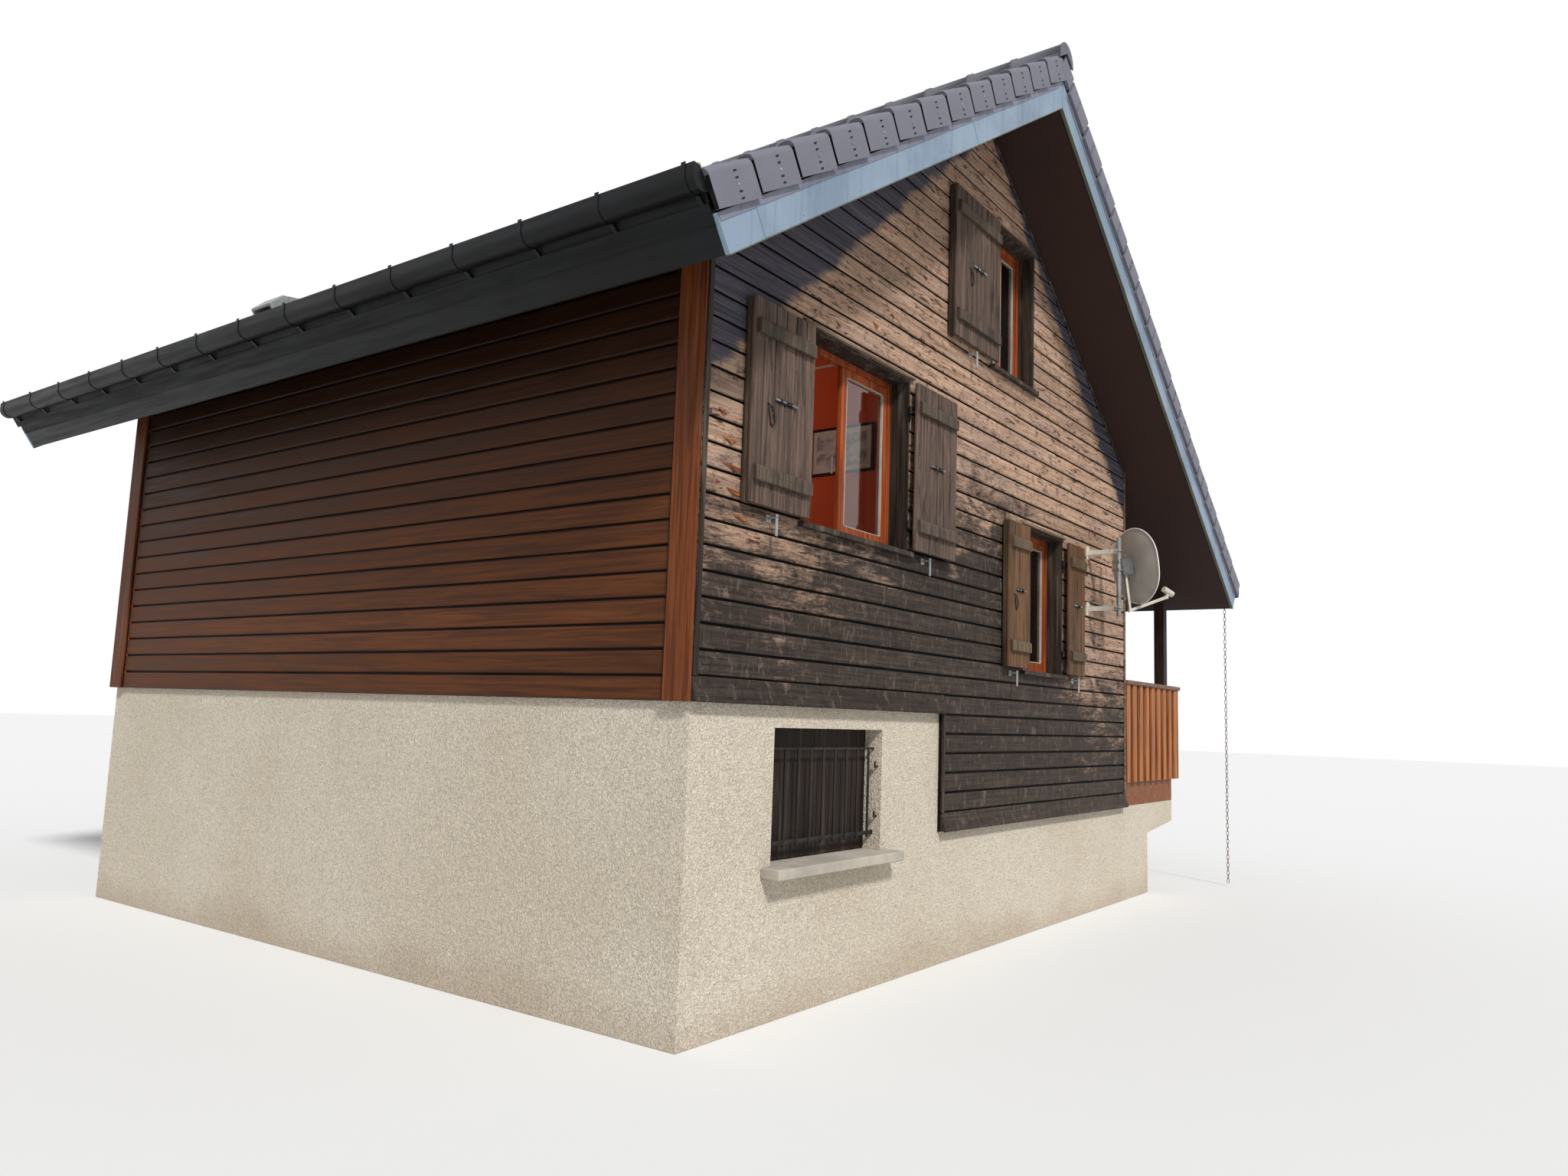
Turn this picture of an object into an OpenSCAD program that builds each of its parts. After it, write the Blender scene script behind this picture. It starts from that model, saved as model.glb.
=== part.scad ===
// Alpine chalet: a timber storey with an attic on a rendered masonry base, and a balcony on the downhill side.
// X runs along the gables with the balcony at +X, Y from the front gable to the rear one, and Z up.
// The origin is the middle of the timber storey's plan, on the underside of the base.

/* [Timber storey] */
// Width of the timber storey along the gables
body_w = 6520; // [6400:10:6900]
// Depth of the timber storey from gable to gable
body_d = 6320; // [6000:10:7000]
// Thickness of the timber walls
wall_t = 200; // [190:5:240]
// Height of the left wall up to the rafters
eave_h = 2363; // [2330:1:2600]
// Width of the uphill part of the storey
uphill_w = 2700; // [2500:10:2900]
// Drop of the downhill part below the uphill part
split_drop = 810; // [760:10:900]
// Thickness of the inner wall beside the step in the floor
partition_t = 150; // [100:5:180]
// Length of that inner wall from the front gable
partition_l = 2900; // [2600:50:3600]

/* [Masonry base] */
// Height of the masonry under the uphill part
base_h = 1700; // [1650:10:2100]
// Thickness of the masonry walls
base_t = 250; // [220:10:300]
// Step back of the masonry behind the cladding
base_inset = 30; // [10:5:60]
// Width of the masonry beyond the timber on the balcony side
base_wing = 770; // [600:10:900]
// Thickness of the cellar floor
cellar_floor_t = 100; // [80:10:160]
// Thickness of the concrete floor slabs
slab_t = 220; // [180:10:260]
// Extra depth of the balcony slab over the masonry
slab_haunch = 77; // [40:1:120]

/* [Cellar window] */
// Distance of the cellar window from the left corner
cellar_x = 760; // [600:10:900]
// Width of the cellar window
cellar_w = 1170; // [1000:10:1250]
// Height of the cellar window
cellar_h = 783; // [650:1:850]
// Masonry between the cellar window and the timber
cellar_head = 122; // [60:1:200]
// Reach of the concrete sill in front of the render
cellar_sill_reach = 130; // [80:5:160]
// Diameter of the bars of the cellar grille
grille_d = 16; // [12:1:20]
// Number of upright bars in the cellar grille
grille_n = 9; // [7:1:11]

/* [Windows] */
// Height of every window opening
win_h = 1165; // [1100:5:1200]
// Depth of the lined reveal in front of a window frame
reveal = 135; // [120:1:140]
// Thickness of the boards that line a reveal
lining_t = 22; // [18:1:28]
// Distance of the big window from the left corner
big_x = 918; // [900:1:960]
// Width of the big window
big_w = 1210; // [1150:1:1240]
// Height of the big window's sill above the uphill timber edge
big_sill = 1058; // [1000:1:1080]
// Distance of the small window from the left corner
small_x = 4057; // [4000:1:4100]
// Width of the small window
small_w = 817; // [780:1:840]
// Height of the small window's sill above the downhill timber edge
small_sill = 1185; // [1120:1:1230]
// Distance of the attic window from the left corner
attic_x = 3429; // [3380:1:3470]
// Width of the attic window
attic_w = 787; // [740:1:800]
// Height of the attic window's sill above the uphill timber edge
attic_sill = 2712; // [2640:1:2740]
// Height of the attic floor above the uphill timber edge
attic_floor_h = 1822; // [1790:1:1860]
// Thickness of the attic floor
attic_floor_t = 200; // [160:5:220]
// Width of a fixed frame beside its opening
frame_w = 40; // [35:1:50]
// Thickness of a fixed frame
frame_t = 55; // [50:1:60]
// Width of the wood round a pane
sash_w = 55; // [45:1:65]
// Thickness of a casement
sash_t = 40; // [36:1:44]
// Thickness of the panes
glass_t = 6; // [4:1:8]
// Thickness of a sill board
sill_t = 32; // [25:1:40]
// Reach of a sill board in front of the cladding
sill_reach = 40; // [30:1:60]
// Reach of a sill board past each side of its opening
sill_ear = 45; // [20:1:60]

/* [Shutters] */
// Thickness of a shutter's boards
leaf_t = 27; // [22:1:28]
// Gap between an open shutter and the cladding
leaf_gap = 40; // [36:1:46]
// Clearance beside a closed shutter
leaf_side = 8; // [7:1:12]
// Clearance between two closed shutters
leaf_mid = 12; // [10:1:20]
// Clearance over the sill and under the head of a closed shutter
leaf_end = 11; // [8:1:20]
// Height of a shutter's cross battens
batten_h = 85; // [60:1:110]
// Distance of the cross battens from a shutter's ends
batten_in = 122; // [90:1:160]
// Step back of the battens from a shutter's edges
batten_edge = 28; // [25:1:50]
// Width of the cover strip on a shutter's free edge
strip_w = 60; // [40:1:80]
// Difference in width between the small window's two shutters
small_lead = 32; // [0:1:60]
// Radius of the shutter hinge pins
pin_r = 7; // [6:0.5:8]
// Wall of the knuckle round a hinge pin
knuckle_t = 4; // [3:0.5:4.5]
// Height of a hinge knuckle
knuckle_h = 40; // [30:1:60]
// Distance of the pins in front of the cladding
pin_out = 16; // [16:0.5:18]

/* [Roof] */
// Pitch of the roof in degrees
pitch = 34; // [32:0.5:35]
// Distance of the ridge from the middle, towards the balcony
ridge_off = 88; // [0:1:150]
// Overhang of the roof past the left wall
left_over = 562; // [450:1:650]
// Overhang of the roof past the right wall
right_over = 1782; // [1740:1:1900]
// Overhang of the roof past each gable
verge_over = 595; // [500:5:700]
// Depth of the rafters
rafter_h = 140; // [120:5:180]
// Width of a rafter
rafter_w = 80; // [60:5:100]
// Number of rafters on each slope
rafter_n = 6; // [5:1:8]
// Thickness of the boarded and insulated roof panels
panel_t = 180; // [170:5:200]
// Thickness of the lining boards inside and of the soffits
soffit_t = 15; // [12:1:22]
// Height of the verge boards
verge_h = 183; // [150:1:200]
// Thickness of the verge boards
verge_t = 25; // [20:1:35]
// Height of the fascia boards along the eaves
fascia_h = 231; // [200:1:260]
// Thickness of the fascia boards
fascia_t = 28; // [20:1:35]

/* [Roof covering] */
// Length of tile that shows in each course
gauge = 376; // [340:1:400]
// Thickness of a tile
tile_t = 22; // [18:1:28]
// Overlap of each verge tile on the one below
tile_lap = 70; // [50:1:90]
// Reach of the lowest tiles past the fascia
tile_over = 8; // [0:1:20]
// Width of a verge tile on the roof
verge_tile_w = 150; // [120:5:200]
// Thickness of a verge tile's hanging flange
flange_t = 22; // [18:1:28]
// Height of the flange's lower edge above the soffit plane
flange_low = 168; // [150:1:200]
// Outer radius of the ridge tiles
ridge_r = 118; // [100:1:135]
// Wall of the ridge tiles
ridge_t = 18; // [14:1:22]
// Length of one ridge tile that shows
ridge_l = 376; // [330:1:420]
// Width of a gutter
gutter_w = 125; // [110:1:130]
// Depth of a gutter
gutter_h = 112; // [100:1:115]
// Height of the left gutter's lip above the upper edge of the roof panels
left_lip = 53; // [40:1:60]
// Depth of the right gutter's lip below the upper edge of the roof panels
right_lip = 14; // [0:1:20]
// Wall of a gutter
gutter_t = 3; // [2:0.5:4]
// Number of brackets under each gutter
bracket_n = 15; // [9:1:18]

/* [Balcony] */
// Reach of the balcony slab beyond the timber wall
balcony_reach = 1607; // [1550:1:1650]
// Thickness of the balcony's deck boards
deck_t = 30; // [24:1:40]
// Height of the deck joists
joist_h = 160; // [120:5:180]
// Height of the balcony's rim boards
rim_h = 270; // [250:5:300]
// Thickness of the rim boards
rim_t = 27; // [20:1:35]
// Height of the handrail's top above the deck
rail_up = 1037; // [950:1:1100]
// Thickness of the handrail
rail_t = 40; // [30:1:50]
// Width of the handrail
rail_w = 120; // [100:5:150]
// Thickness of a baluster board
baluster_t = 22; // [18:1:26]
// Width of a baluster board
baluster_w = 100; // [98:1:120]
// Spacing of the baluster boards
baluster_pitch = 190; // [180:1:194]
// Width of a balcony post
post_w = 110; // [90:5:130]
// Distance between the outer rim board and the boards of the balustrade
rail_out = 80; // [60:5:100]
// Distance of the balcony door from the front corner
door_y = 3300; // [3000:10:3600]
// Width of the balcony door
door_w = 1400; // [1200:10:1500]
// Height of the balcony door
door_h = 2050; // [1950:10:2080]
// Distance of the side window from the front corner
side_y = 1200; // [1000:10:1400]
// Width of the side window
side_w = 900; // [800:10:1100]

/* [Dish] */
// Height of the dish
dish_h = 690; // [600:5:760]
// Width of the dish
dish_w = 630; // [550:5:700]
// Depth of the dish
dish_deep = 62; // [45:1:80]
// Thickness of the dish's sheet
dish_t = 3; // [2:0.5:4]
// Distance of the dish pole from the left corner
dish_x = 5500; // [5450:5:5560]
// Distance of the pole in front of the cladding
dish_out = 290; // [260:5:320]
// Height of the middle of the dish above the uphill timber edge
dish_z = 1400; // [1350:5:1450]
// Turn of the dish away from the gable in degrees
dish_turn = 57; // [50:1:65]
// Radius of the dish pole
pole_r = 21; // [18:1:25]

/* [Rain chain] */
// Thickness of the chain's wire
chain_wire = 6; // [5:0.5:7]
// Inner length of one chain link
link_l = 42; // [36:1:50]
// Outer width of one chain link
link_w = 28; // [24:1:34]
// Distance of the chain from the front end of the gutter
chain_in = 140; // [120:5:300]

/* [Hidden] */
$fn = 48;
clear = 0.3;
left_x = -body_w / 2;
right_x = body_w / 2;
front_y = -body_d / 2;
half_y = body_d / 2 + verge_over;
step_x = left_x + uphill_w;
low_z = base_h - split_drop;
wing_x = right_x + base_wing;
nose_x = right_x + balcony_reach;
base_left = left_x + base_inset;
base_y = body_d / 2 - base_inset;
ridge_x = ridge_off;
rise = tan(pitch);
apex_z = base_h + eave_h + (ridge_x - left_x) * rise;
left_l = (ridge_x - left_x + left_over) / cos(pitch);
right_l = (right_x + right_over - ridge_x) / cos(pitch);
panel_n = rafter_h + panel_t;
tile_top = panel_n + 2 * tile_t;
deck_z = low_z + joist_h + deck_t;
attic_floor_z = base_h + attic_floor_h;
frame_y = reveal;
sash_y = frame_y + 8;
cut_w = 2 * lining_t;
eps = 0.01;

// Window openings of a gable: place along the wall, height, width, number of casements
big = [big_x, base_h + big_sill, big_w, 2];
small = [small_x, low_z + small_sill, small_w, 2];
attic = [attic_x, base_h + attic_sill, attic_w, 2];
gable_windows = [big, small, attic];
// Openings of the wall on the balcony: place, height, width, number of casements, height of the opening
door = [door_y, deck_z, door_w, 2, door_h];
side = [side_y, low_z + small_sill, side_w, 2, win_h];

// A point of the roof: side is -1 on the left slope and 1 on the right one, down the slope and square to it
function on_roof(side, down, up) = [
    ridge_x + side * (down * cos(pitch) + up * sin(pitch)),
    apex_z - down * sin(pitch) + up * cos(pitch)];
function slope_l(side) = side < 0 ? left_l : right_l;
function soffit_z(x) = apex_z - abs(x - ridge_x) * rise;
function height_of(opening) = len(opening) > 4 ? opening[4] : win_h;

// An outline in X and Z, drawn out along Y
module across(points, y0, y1)
    translate([0, y1, 0])
        rotate([90, 0, 0])
            linear_extrude(y1 - y0)
                polygon(points);

// A layer of one slope from the ridge plane down, between two distances from the soffit plane
module layer(side, up0, up1, down, y0, y1, gap = 0)
    across([
        on_roof(side, gap - up0 * rise, up0),
        on_roof(side, down, up0),
        on_roof(side, down, up1),
        on_roof(side, gap - up1 * rise, up1)], y0, y1);

// A copy on the rear gable of what is on the front one
module both_gables() {
    children();
    mirror([0, 1, 0]) children();
}

// Local frame of an opening: X along the wall, Y inwards from the cladding, Z up from the opening's foot
module at_gable(opening)
    translate([left_x + opening[0], front_y, opening[1]])
        children();

module at_side(opening)
    translate([right_x, front_y + opening[0], opening[1]])
        rotate([0, 0, 90])
            children();

module every_opening() {
    for (opening = gable_windows)
        both_gables()
            at_gable(opening)
                wall_piece(opening, $part);
    for (opening = [door, side])
        at_side(opening)
            wall_piece(opening, $part);
}

module wall_piece(opening, part) {
    if (part == "lining") lining(opening);
    if (part == "frame") fixed_frame(opening);
    if (part == "cut") wall_cut(opening);
}

module ring(w, h, border, y0, y1)
    difference() {
        translate([0, y0, 0]) cube([w, y1 - y0, h]);
        translate([border, y0 - 1, border]) cube([w - 2 * border, y1 - y0 + 2, h - 2 * border]);
    }

module wall_cut(opening)
    translate([-lining_t, -1, -lining_t])
        cube([opening[2] + cut_w, wall_t + 2, height_of(opening) + cut_w]);

module lining(opening) {
    translate([-lining_t, 0, -lining_t])
        ring(opening[2] + cut_w, height_of(opening) + cut_w, lining_t, 0, frame_y);
    if (opening != door)
        translate([-sill_ear, -sill_reach, -sill_t])
            cube([opening[2] + 2 * sill_ear, sill_reach, sill_t]);
}

module fixed_frame(opening)
    translate([-lining_t, 0, -lining_t])
        ring(opening[2] + cut_w, height_of(opening) + cut_w, lining_t + frame_w, frame_y, frame_y + frame_t);

// One casement in its own frame: X along the wall from its hinge edge
module casement(w, h)
    ring(w, h, sash_w, 0, sash_t);

module pane(w, h)
    translate([sash_w, (sash_t - glass_t) / 2, sash_w])
        cube([w - 2 * sash_w, glass_t, h - 2 * sash_w]);

function casement_w(opening) = (opening[2] - 2 * frame_w - 3 * clear) / opening[3] - clear / 2;
function casement_h(opening) = height_of(opening) - 2 * frame_w - 2 * clear;

// Places a casement or a pane in each opening, and turns the big window's left one into the room
module every_casement(glazed, opening, open_first = false)
    for (i = [0 : opening[3] - 1])
        translate([frame_w + clear, 0, frame_w + clear])
            if (i == 0 && open_first)
                translate([sash_t, frame_y + frame_t + clear, 0])
                    rotate([0, 0, 90])
                        casement_piece(glazed, opening);
            else
                translate([i * (casement_w(opening) + clear), sash_y, 0])
                    casement_piece(glazed, opening);

module casement_piece(glazed, opening)
    if (glazed) pane(casement_w(opening), casement_h(opening));
    else casement(casement_w(opening), casement_h(opening));

module every_window(glazed) {
    for (opening = gable_windows) {
        at_gable(opening) every_casement(glazed, opening, opening == big);
        mirror([0, 1, 0]) at_gable(opening) every_casement(glazed, opening);
    }
    for (opening = [door, side])
        at_side(opening) every_casement(glazed, opening);
}

// Masonry base

base_profile = [
    [base_left, 0], [wing_x, 0], [wing_x, low_z - slab_t - slab_haunch], [nose_x, low_z - slab_t],
    [nose_x, low_z], [step_x, low_z], [step_x, base_h], [base_left, base_h]];

module cellar_cut()
    translate([left_x + cellar_x, -base_y - 1, base_h - cellar_head - cellar_h])
        cube([cellar_w, base_t + 2, cellar_h]);

module gable_base_wall()
    color("AntiqueWhite")
        difference() {
            across(base_profile, -base_y, -base_y + base_t);
            cellar_cut();
        }

module front_base_wall() gable_base_wall();

module rear_base_wall() mirror([0, 1, 0]) gable_base_wall();

module left_base_wall()
    color("AntiqueWhite")
        translate([base_left, -base_y + base_t, 0])
            cube([base_t, 2 * (base_y - base_t), base_h]);

module right_base_wall()
    color("AntiqueWhite")
        translate([wing_x - base_t, -base_y + base_t, 0])
            cube([base_t, 2 * (base_y - base_t), low_z - slab_t - slab_haunch]);

module middle_base_wall()
    color("LightGray")
        translate([step_x - base_t, -base_y + base_t, cellar_floor_t])
            cube([base_t, 2 * (base_y - base_t), base_h - slab_t - cellar_floor_t]);

module cellar_floor()
    color("Gray")
        translate([base_left + base_t, -base_y + base_t, 0])
            cube([wing_x - base_left - 2 * base_t, 2 * (base_y - base_t), cellar_floor_t]);

module uphill_slab()
    color("Gray")
        translate([base_left + base_t, -base_y + base_t, base_h - slab_t])
            cube([step_x - base_left - base_t, 2 * (base_y - base_t), slab_t]);

module balcony_slab()
    color("Gray")
        across([
            [step_x, low_z - slab_t], [wing_x - base_t, low_z - slab_t],
            [wing_x - base_t, low_z - slab_t - slab_haunch], [wing_x, low_z - slab_t - slab_haunch],
            [nose_x, low_z - slab_t], [nose_x, low_z], [step_x, low_z]], -base_y + base_t, base_y - base_t);

module attic_floor()
    color("Tan")
        translate([step_x, front_y + wall_t, attic_floor_z - attic_floor_t])
            cube([right_x - wall_t - step_x, body_d - 2 * wall_t, attic_floor_t]);

// Timber walls

module gable_wall(shade)
    color(shade)
        difference() {
            across([
                [left_x, base_h], [step_x, base_h], [step_x, low_z], [right_x, low_z],
                [right_x, soffit_z(right_x) - clear], [ridge_x, apex_z - clear],
                [left_x, soffit_z(left_x) - clear]],
                front_y, front_y + wall_t);
            for (opening = gable_windows) at_gable(opening) wall_cut(opening);
        }

module front_wall() gable_wall("SaddleBrown");

module rear_wall() mirror([0, 1, 0]) gable_wall("SaddleBrown");

// A wall under the eave, that closes the spaces between the rafters
module eave_wall(side, foot)
    difference() {
        across([
            [side * right_x, foot], [side * (right_x - wall_t), foot],
            [side * (right_x - wall_t), soffit_z(side * (right_x - wall_t)) + rafter_h / cos(pitch)],
            [side * right_x, soffit_z(side * right_x) + rafter_h / cos(pitch)]],
            front_y + wall_t, -front_y - wall_t);
        for (y = rafter_places())
            layer(side, -clear, rafter_h + 1, slope_l(side), y - rafter_w / 2 - clear, y + rafter_w / 2 + clear);
    }

module left_wall() color("Sienna") eave_wall(-1, base_h);

module right_wall()
    color("Sienna")
        difference() {
            eave_wall(1, low_z);
            for (opening = [door, side]) at_side(opening) wall_cut(opening);
        }

module partition_wall()
    color("Firebrick")
        across([
            [step_x - partition_t, base_h], [step_x, base_h],
            [step_x, soffit_z(step_x) - soffit_t / cos(pitch) - 2 * clear],
            [step_x - partition_t, soffit_z(step_x - partition_t) - soffit_t / cos(pitch) - 2 * clear]],
            front_y + wall_t, front_y + wall_t + partition_l);

corner_t = 20;
corner_w = 180;

// Boards on the eave walls beside each corner
module corner_boards()
    color("Maroon")
        for (side = [-1, 1])
            both_gables()
                difference() {
                    translate([side > 0 ? right_x : left_x - corner_t, front_y, side > 0 ? low_z + rim_h : base_h])
                        cube([corner_t, corner_w, eave_h + split_drop]);
                    layer(side, -clear, eave_h + split_drop, slope_l(side), front_y - 1, front_y + corner_w + 1);
                }

// Roof

ridge_beam_w = 120;
ridge_beam_h = 200;
ridge_gap = 2;

module ridge_beam()
    color("BurlyWood")
        across([
            [ridge_x - ridge_beam_w / 2, soffit_z(ridge_x - ridge_beam_w / 2) - ridge_beam_h],
            [ridge_x + ridge_beam_w / 2, soffit_z(ridge_x + ridge_beam_w / 2) - ridge_beam_h],
            [ridge_x + ridge_beam_w / 2, soffit_z(ridge_x + ridge_beam_w / 2) - clear],
            [ridge_x, apex_z - clear],
            [ridge_x - ridge_beam_w / 2, soffit_z(ridge_x - ridge_beam_w / 2) - clear]],
            front_y + wall_t, -front_y - wall_t);

rafter_in = 82;
function rafter_places() = [
    for (i = [0 : rafter_n - 1]) front_y + rafter_in + i * (body_d - 2 * rafter_in) / (rafter_n - 1)];

// How far down the right slope its soffit begins at the wall
soffit_from = (right_x - ridge_x - soffit_t * sin(pitch)) / cos(pitch);

module rafters()
    color("BurlyWood")
        for (y = rafter_places())
            across([
                [ridge_x, apex_z],
                on_roof(1, (right_x - ridge_x) / cos(pitch), 0),
                on_roof(1, soffit_from, soffit_t),
                on_roof(1, right_l - fascia_t, soffit_t),
                on_roof(1, right_l - fascia_t, rafter_h),
                [ridge_x, apex_z + rafter_h / cos(pitch)],
                on_roof(-1, left_l - fascia_t, rafter_h),
                on_roof(-1, left_l - fascia_t, 0)],
                y - rafter_w / 2, y + rafter_w / 2);

panel_back = 68;

module roof_panels()
    color("Peru")
        for (side = [-1, 1])
            layer(side, rafter_h + clear, panel_n - clear, slope_l(side) - panel_back, -half_y + verge_t,
                half_y - verge_t, ridge_gap);

// Lining boards under the rafters inside, from the eave walls up to the ridge beam
module ceiling_lining()
    color("IndianRed")
        for (side = [-1, 1]) {
            wall = side * (right_x - wall_t);
            beam = ridge_x + side * ridge_beam_w / 2;
            drop = soffit_t / cos(pitch);
            across([
                [wall, soffit_z(wall) - clear], [beam, soffit_z(beam) - clear],
                [beam, soffit_z(beam) - drop - clear], [wall, soffit_z(wall) - drop - clear]],
                front_y + wall_t, -front_y - wall_t);
        }

// Boards that close the underside of the overhangs, all but the left eave between the gables
module soffits()
    color("SaddleBrown") {
        both_gables()
            layer(-1, 0, soffit_t, left_l - fascia_t, -half_y + verge_t, front_y, ridge_gap);
        difference() {
            layer(1, 0, soffit_t, right_l - fascia_t, -half_y + verge_t, half_y - verge_t, ridge_gap);
            translate([ridge_x - 1, front_y, low_z]) cube([right_x - ridge_x + 1, body_d, apex_z]);
        }
    }

module verge_boards()
    color("LightSteelBlue")
        for (side = [-1, 1])
            both_gables()
                layer(side, 0, verge_h, slope_l(side), -half_y, -half_y + verge_t, ridge_gap);

module fascias()
    color("DarkSlateGray")
        for (side = [-1, 1])
            across([
                on_roof(side, slope_l(side) - fascia_t, 0), on_roof(side, slope_l(side), 0),
                on_roof(side, slope_l(side), fascia_h), on_roof(side, slope_l(side) - fascia_t, fascia_h)],
                -half_y + verge_t, half_y - verge_t);

// Roof covering

function tail(side, i) = slope_l(side) + tile_over - i * gauge;
function courses(side) = ceil((slope_l(side) + tile_over + tile_top * rise) / gauge);

// Courses of one slope as a saw-toothed slab, from the eave up
module field_tiles(side) {
    points = concat(
        [on_roof(side, tail(side, courses(side)), panel_n), on_roof(side, tail(side, 0), panel_n)],
        [for (i = [0 : courses(side) - 1], k = [0, 1])
            on_roof(side, tail(side, i + k), panel_n + (2 - k) * tile_t)]);
    intersection() {
        across(points, -half_y + verge_tile_w, half_y - verge_tile_w);
        slope_side(side);
    }
}

// All that lies on one side of the ridge
module slope_side(side)
    translate([side > 0 ? ridge_x + ridge_gap : ridge_x - ridge_gap - 2 * right_l, -2 * half_y, 0])
        cube([2 * right_l, 4 * half_y, 2 * apex_z]);

module roof_tiles()
    color("SlateGray")
        for (side = [-1, 1]) field_tiles(side);

// One verge tile on the front gable, i courses above the eave: a tilted plate and a hanging flange
module verge_tile(side, i) {
    foot = tail(side, i);
    tilt = tile_t / gauge;
    head = foot - gauge - tile_lap;
    across([
        on_roof(side, head, panel_n), on_roof(side, foot, panel_n + (foot - head) * tilt),
        on_roof(side, foot, panel_n + (foot - head) * tilt + tile_t - clear),
        on_roof(side, head, panel_n + tile_t - clear)],
        -half_y, -half_y + verge_tile_w - clear);
    across([
        on_roof(side, foot - gauge + 2, flange_low), on_roof(side, foot, flange_low + tile_t),
        on_roof(side, foot, panel_n + (foot - head) * tilt + tile_t - clear),
        on_roof(side, foot - gauge + 2, panel_n + (tile_lap + 2) * tilt + tile_t - clear)],
        -half_y - flange_t - 2, -half_y);
}

module verge_tiles()
    color("LightSlateGray")
        for (side = [-1, 1])
            both_gables()
                for (i = [0 : courses(side) - 1])
                    intersection() {
                        verge_tile(side, i);
                        slope_side(side);
                    }

ridge_up = 57;
flange_y = half_y + flange_t + 3;
collar = 8;
collar_l = 40;

// Height of the verge tiles' upper face at one place on a slope
function top_at(side, s) =
    let (foot = tail(side, floor((slope_l(side) + tile_over - s) / gauge)))
        panel_n + (s - foot + gauge + tile_lap) * tile_t / gauge + tile_t;

// Place down the slope of the collars' outer edge, when it stands at one height over the soffit plane
function collar_at(up) = (ridge_r + collar - up * sin(pitch)) / cos(pitch);
function ridge_seat(side) =
    let (
        edge = collar_at(top_at(side, collar_at(panel_n + 2 * tile_t))),
        foot = tail(side, floor((slope_l(side) + tile_over - edge) / gauge) + 1))
        max(top_at(side, edge), edge - foot < collar + 2 * ridge_t ? top_at(side, foot - 0.01) : 0) + clear;

// The shape under one ridge tile, with its feet cut to the two slopes
module ridge_outline(r) {
    middle = apex_z + tile_top / cos(pitch) + ridge_up - ridge_r;
    difference() {
        union() {
            translate([ridge_x, middle]) circle(r);
            translate([ridge_x - r, middle - 2 * ridge_r]) square([2 * r, 2 * ridge_r]);
        }
        for (side = [-1, 1]) {
            foot = on_roof(side, 2 * ridge_r, ridge_seat(side));
            polygon([
                on_roof(side, -ridge_seat(side) * rise, ridge_seat(side)), foot,
                [foot[0], apex_z], [ridge_x, apex_z]]);
        }
    }
}

// Ridge tiles with a collar at each joint and a plate on each end
module ridge_tiles()
    color("SlateGray")
        translate([0, flange_y, 0])
            rotate([90, 0, 0]) {
                linear_extrude(2 * flange_y)
                    difference() {
                        ridge_outline(ridge_r);
                        ridge_outline(ridge_r - ridge_t);
                    }
                for (y = [0 : ridge_l : 2 * half_y])
                    translate([0, 0, y])
                        linear_extrude(collar_l)
                            difference() {
                                ridge_outline(ridge_r + collar);
                                ridge_outline(ridge_r - ridge_t);
                            }
                for (y = [-10, 2 * flange_y])
                    translate([0, 0, y])
                        linear_extrude(10) ridge_outline(ridge_r + collar);
            }

vent_course = 2;
vent_y = 1000;
vent_l = 320;
vent_w = 260;
vent_h = 140;

// A point of the vent: down from the head of its course, and up from the tile
function on_course(down, up) =
    on_roof(-1, tail(-1, vent_course + 1) + down, panel_n + tile_t * (1 + down / gauge) + clear + up);

// A hooded vent on the left slope, open at its lower end
module roof_vent()
    color("Gainsboro")
        difference() {
            across([
                on_course(20, 0), on_course(20 + vent_l, 0), on_course(20 + vent_l, vent_h * 0.8),
                on_course(20 + vent_l * 0.6, vent_h), on_course(20 + vent_l * 0.2, vent_h * 0.6)],
                vent_y - vent_w / 2, vent_y + vent_w / 2);
            across([
                on_course(vent_l * 0.4, 20), on_course(21 + vent_l, 20), on_course(21 + vent_l, vent_h * 0.64),
                on_course(vent_l * 0.6, vent_h * 0.8)],
                vent_y - vent_w / 2 + 20, vent_y + vent_w / 2 - 20);
        }

gutter_reach = 90;
gutter_round = 45;
back_drop = 40;
strap = 4;

// The outer lip of a gutter in X and Z
function lip(side) = on_roof(side, slope_l(side), panel_n)
    + [side * gutter_reach, side < 0 ? left_lip : -right_lip];

// Outline of a gutter from its lip inwards, smaller all round by t
module gutter_outline(side, t)
    translate(lip(side))
        mirror([side < 0 ? 1 : 0, 0]) {
            translate([t - gutter_w, t - gutter_h]) square([gutter_w - 2 * t - gutter_round, gutter_h - t]);
            translate([-gutter_round - t, t + gutter_round - gutter_h])
                square([gutter_round, gutter_h - t - gutter_round]);
            translate([-gutter_round - t, t + gutter_round - gutter_h]) circle(gutter_round);
        }

// A length of gutter between two outlines, open on top
module gutter_shell(side, outer, inner, y0, y1, end)
    difference() {
        translate([0, y1, 0]) rotate([90, 0, 0]) linear_extrude(y1 - y0) gutter_outline(side, outer);
        translate([0, y1 - end, 0])
            rotate([90, 0, 0])
                linear_extrude(y1 - y0 - 2 * end)
                    gutter_outline(side, inner);
        translate([lip(side)[0] - side * gutter_w - 20, y0 - 1, lip(side)[1] - back_drop])
            cube([40, y1 - y0 + 2, 2 * back_drop]);
        across([
            on_roof(side, slope_l(side) - 100, panel_n + 10),
            on_roof(side, slope_l(side) + tile_over + 1, panel_n + 10),
            on_roof(side, slope_l(side) + tile_over + 1, panel_n + 60),
            on_roof(side, slope_l(side) - 100, panel_n + 60)],
            y0 - 1, y1 + 1);
    }

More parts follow.
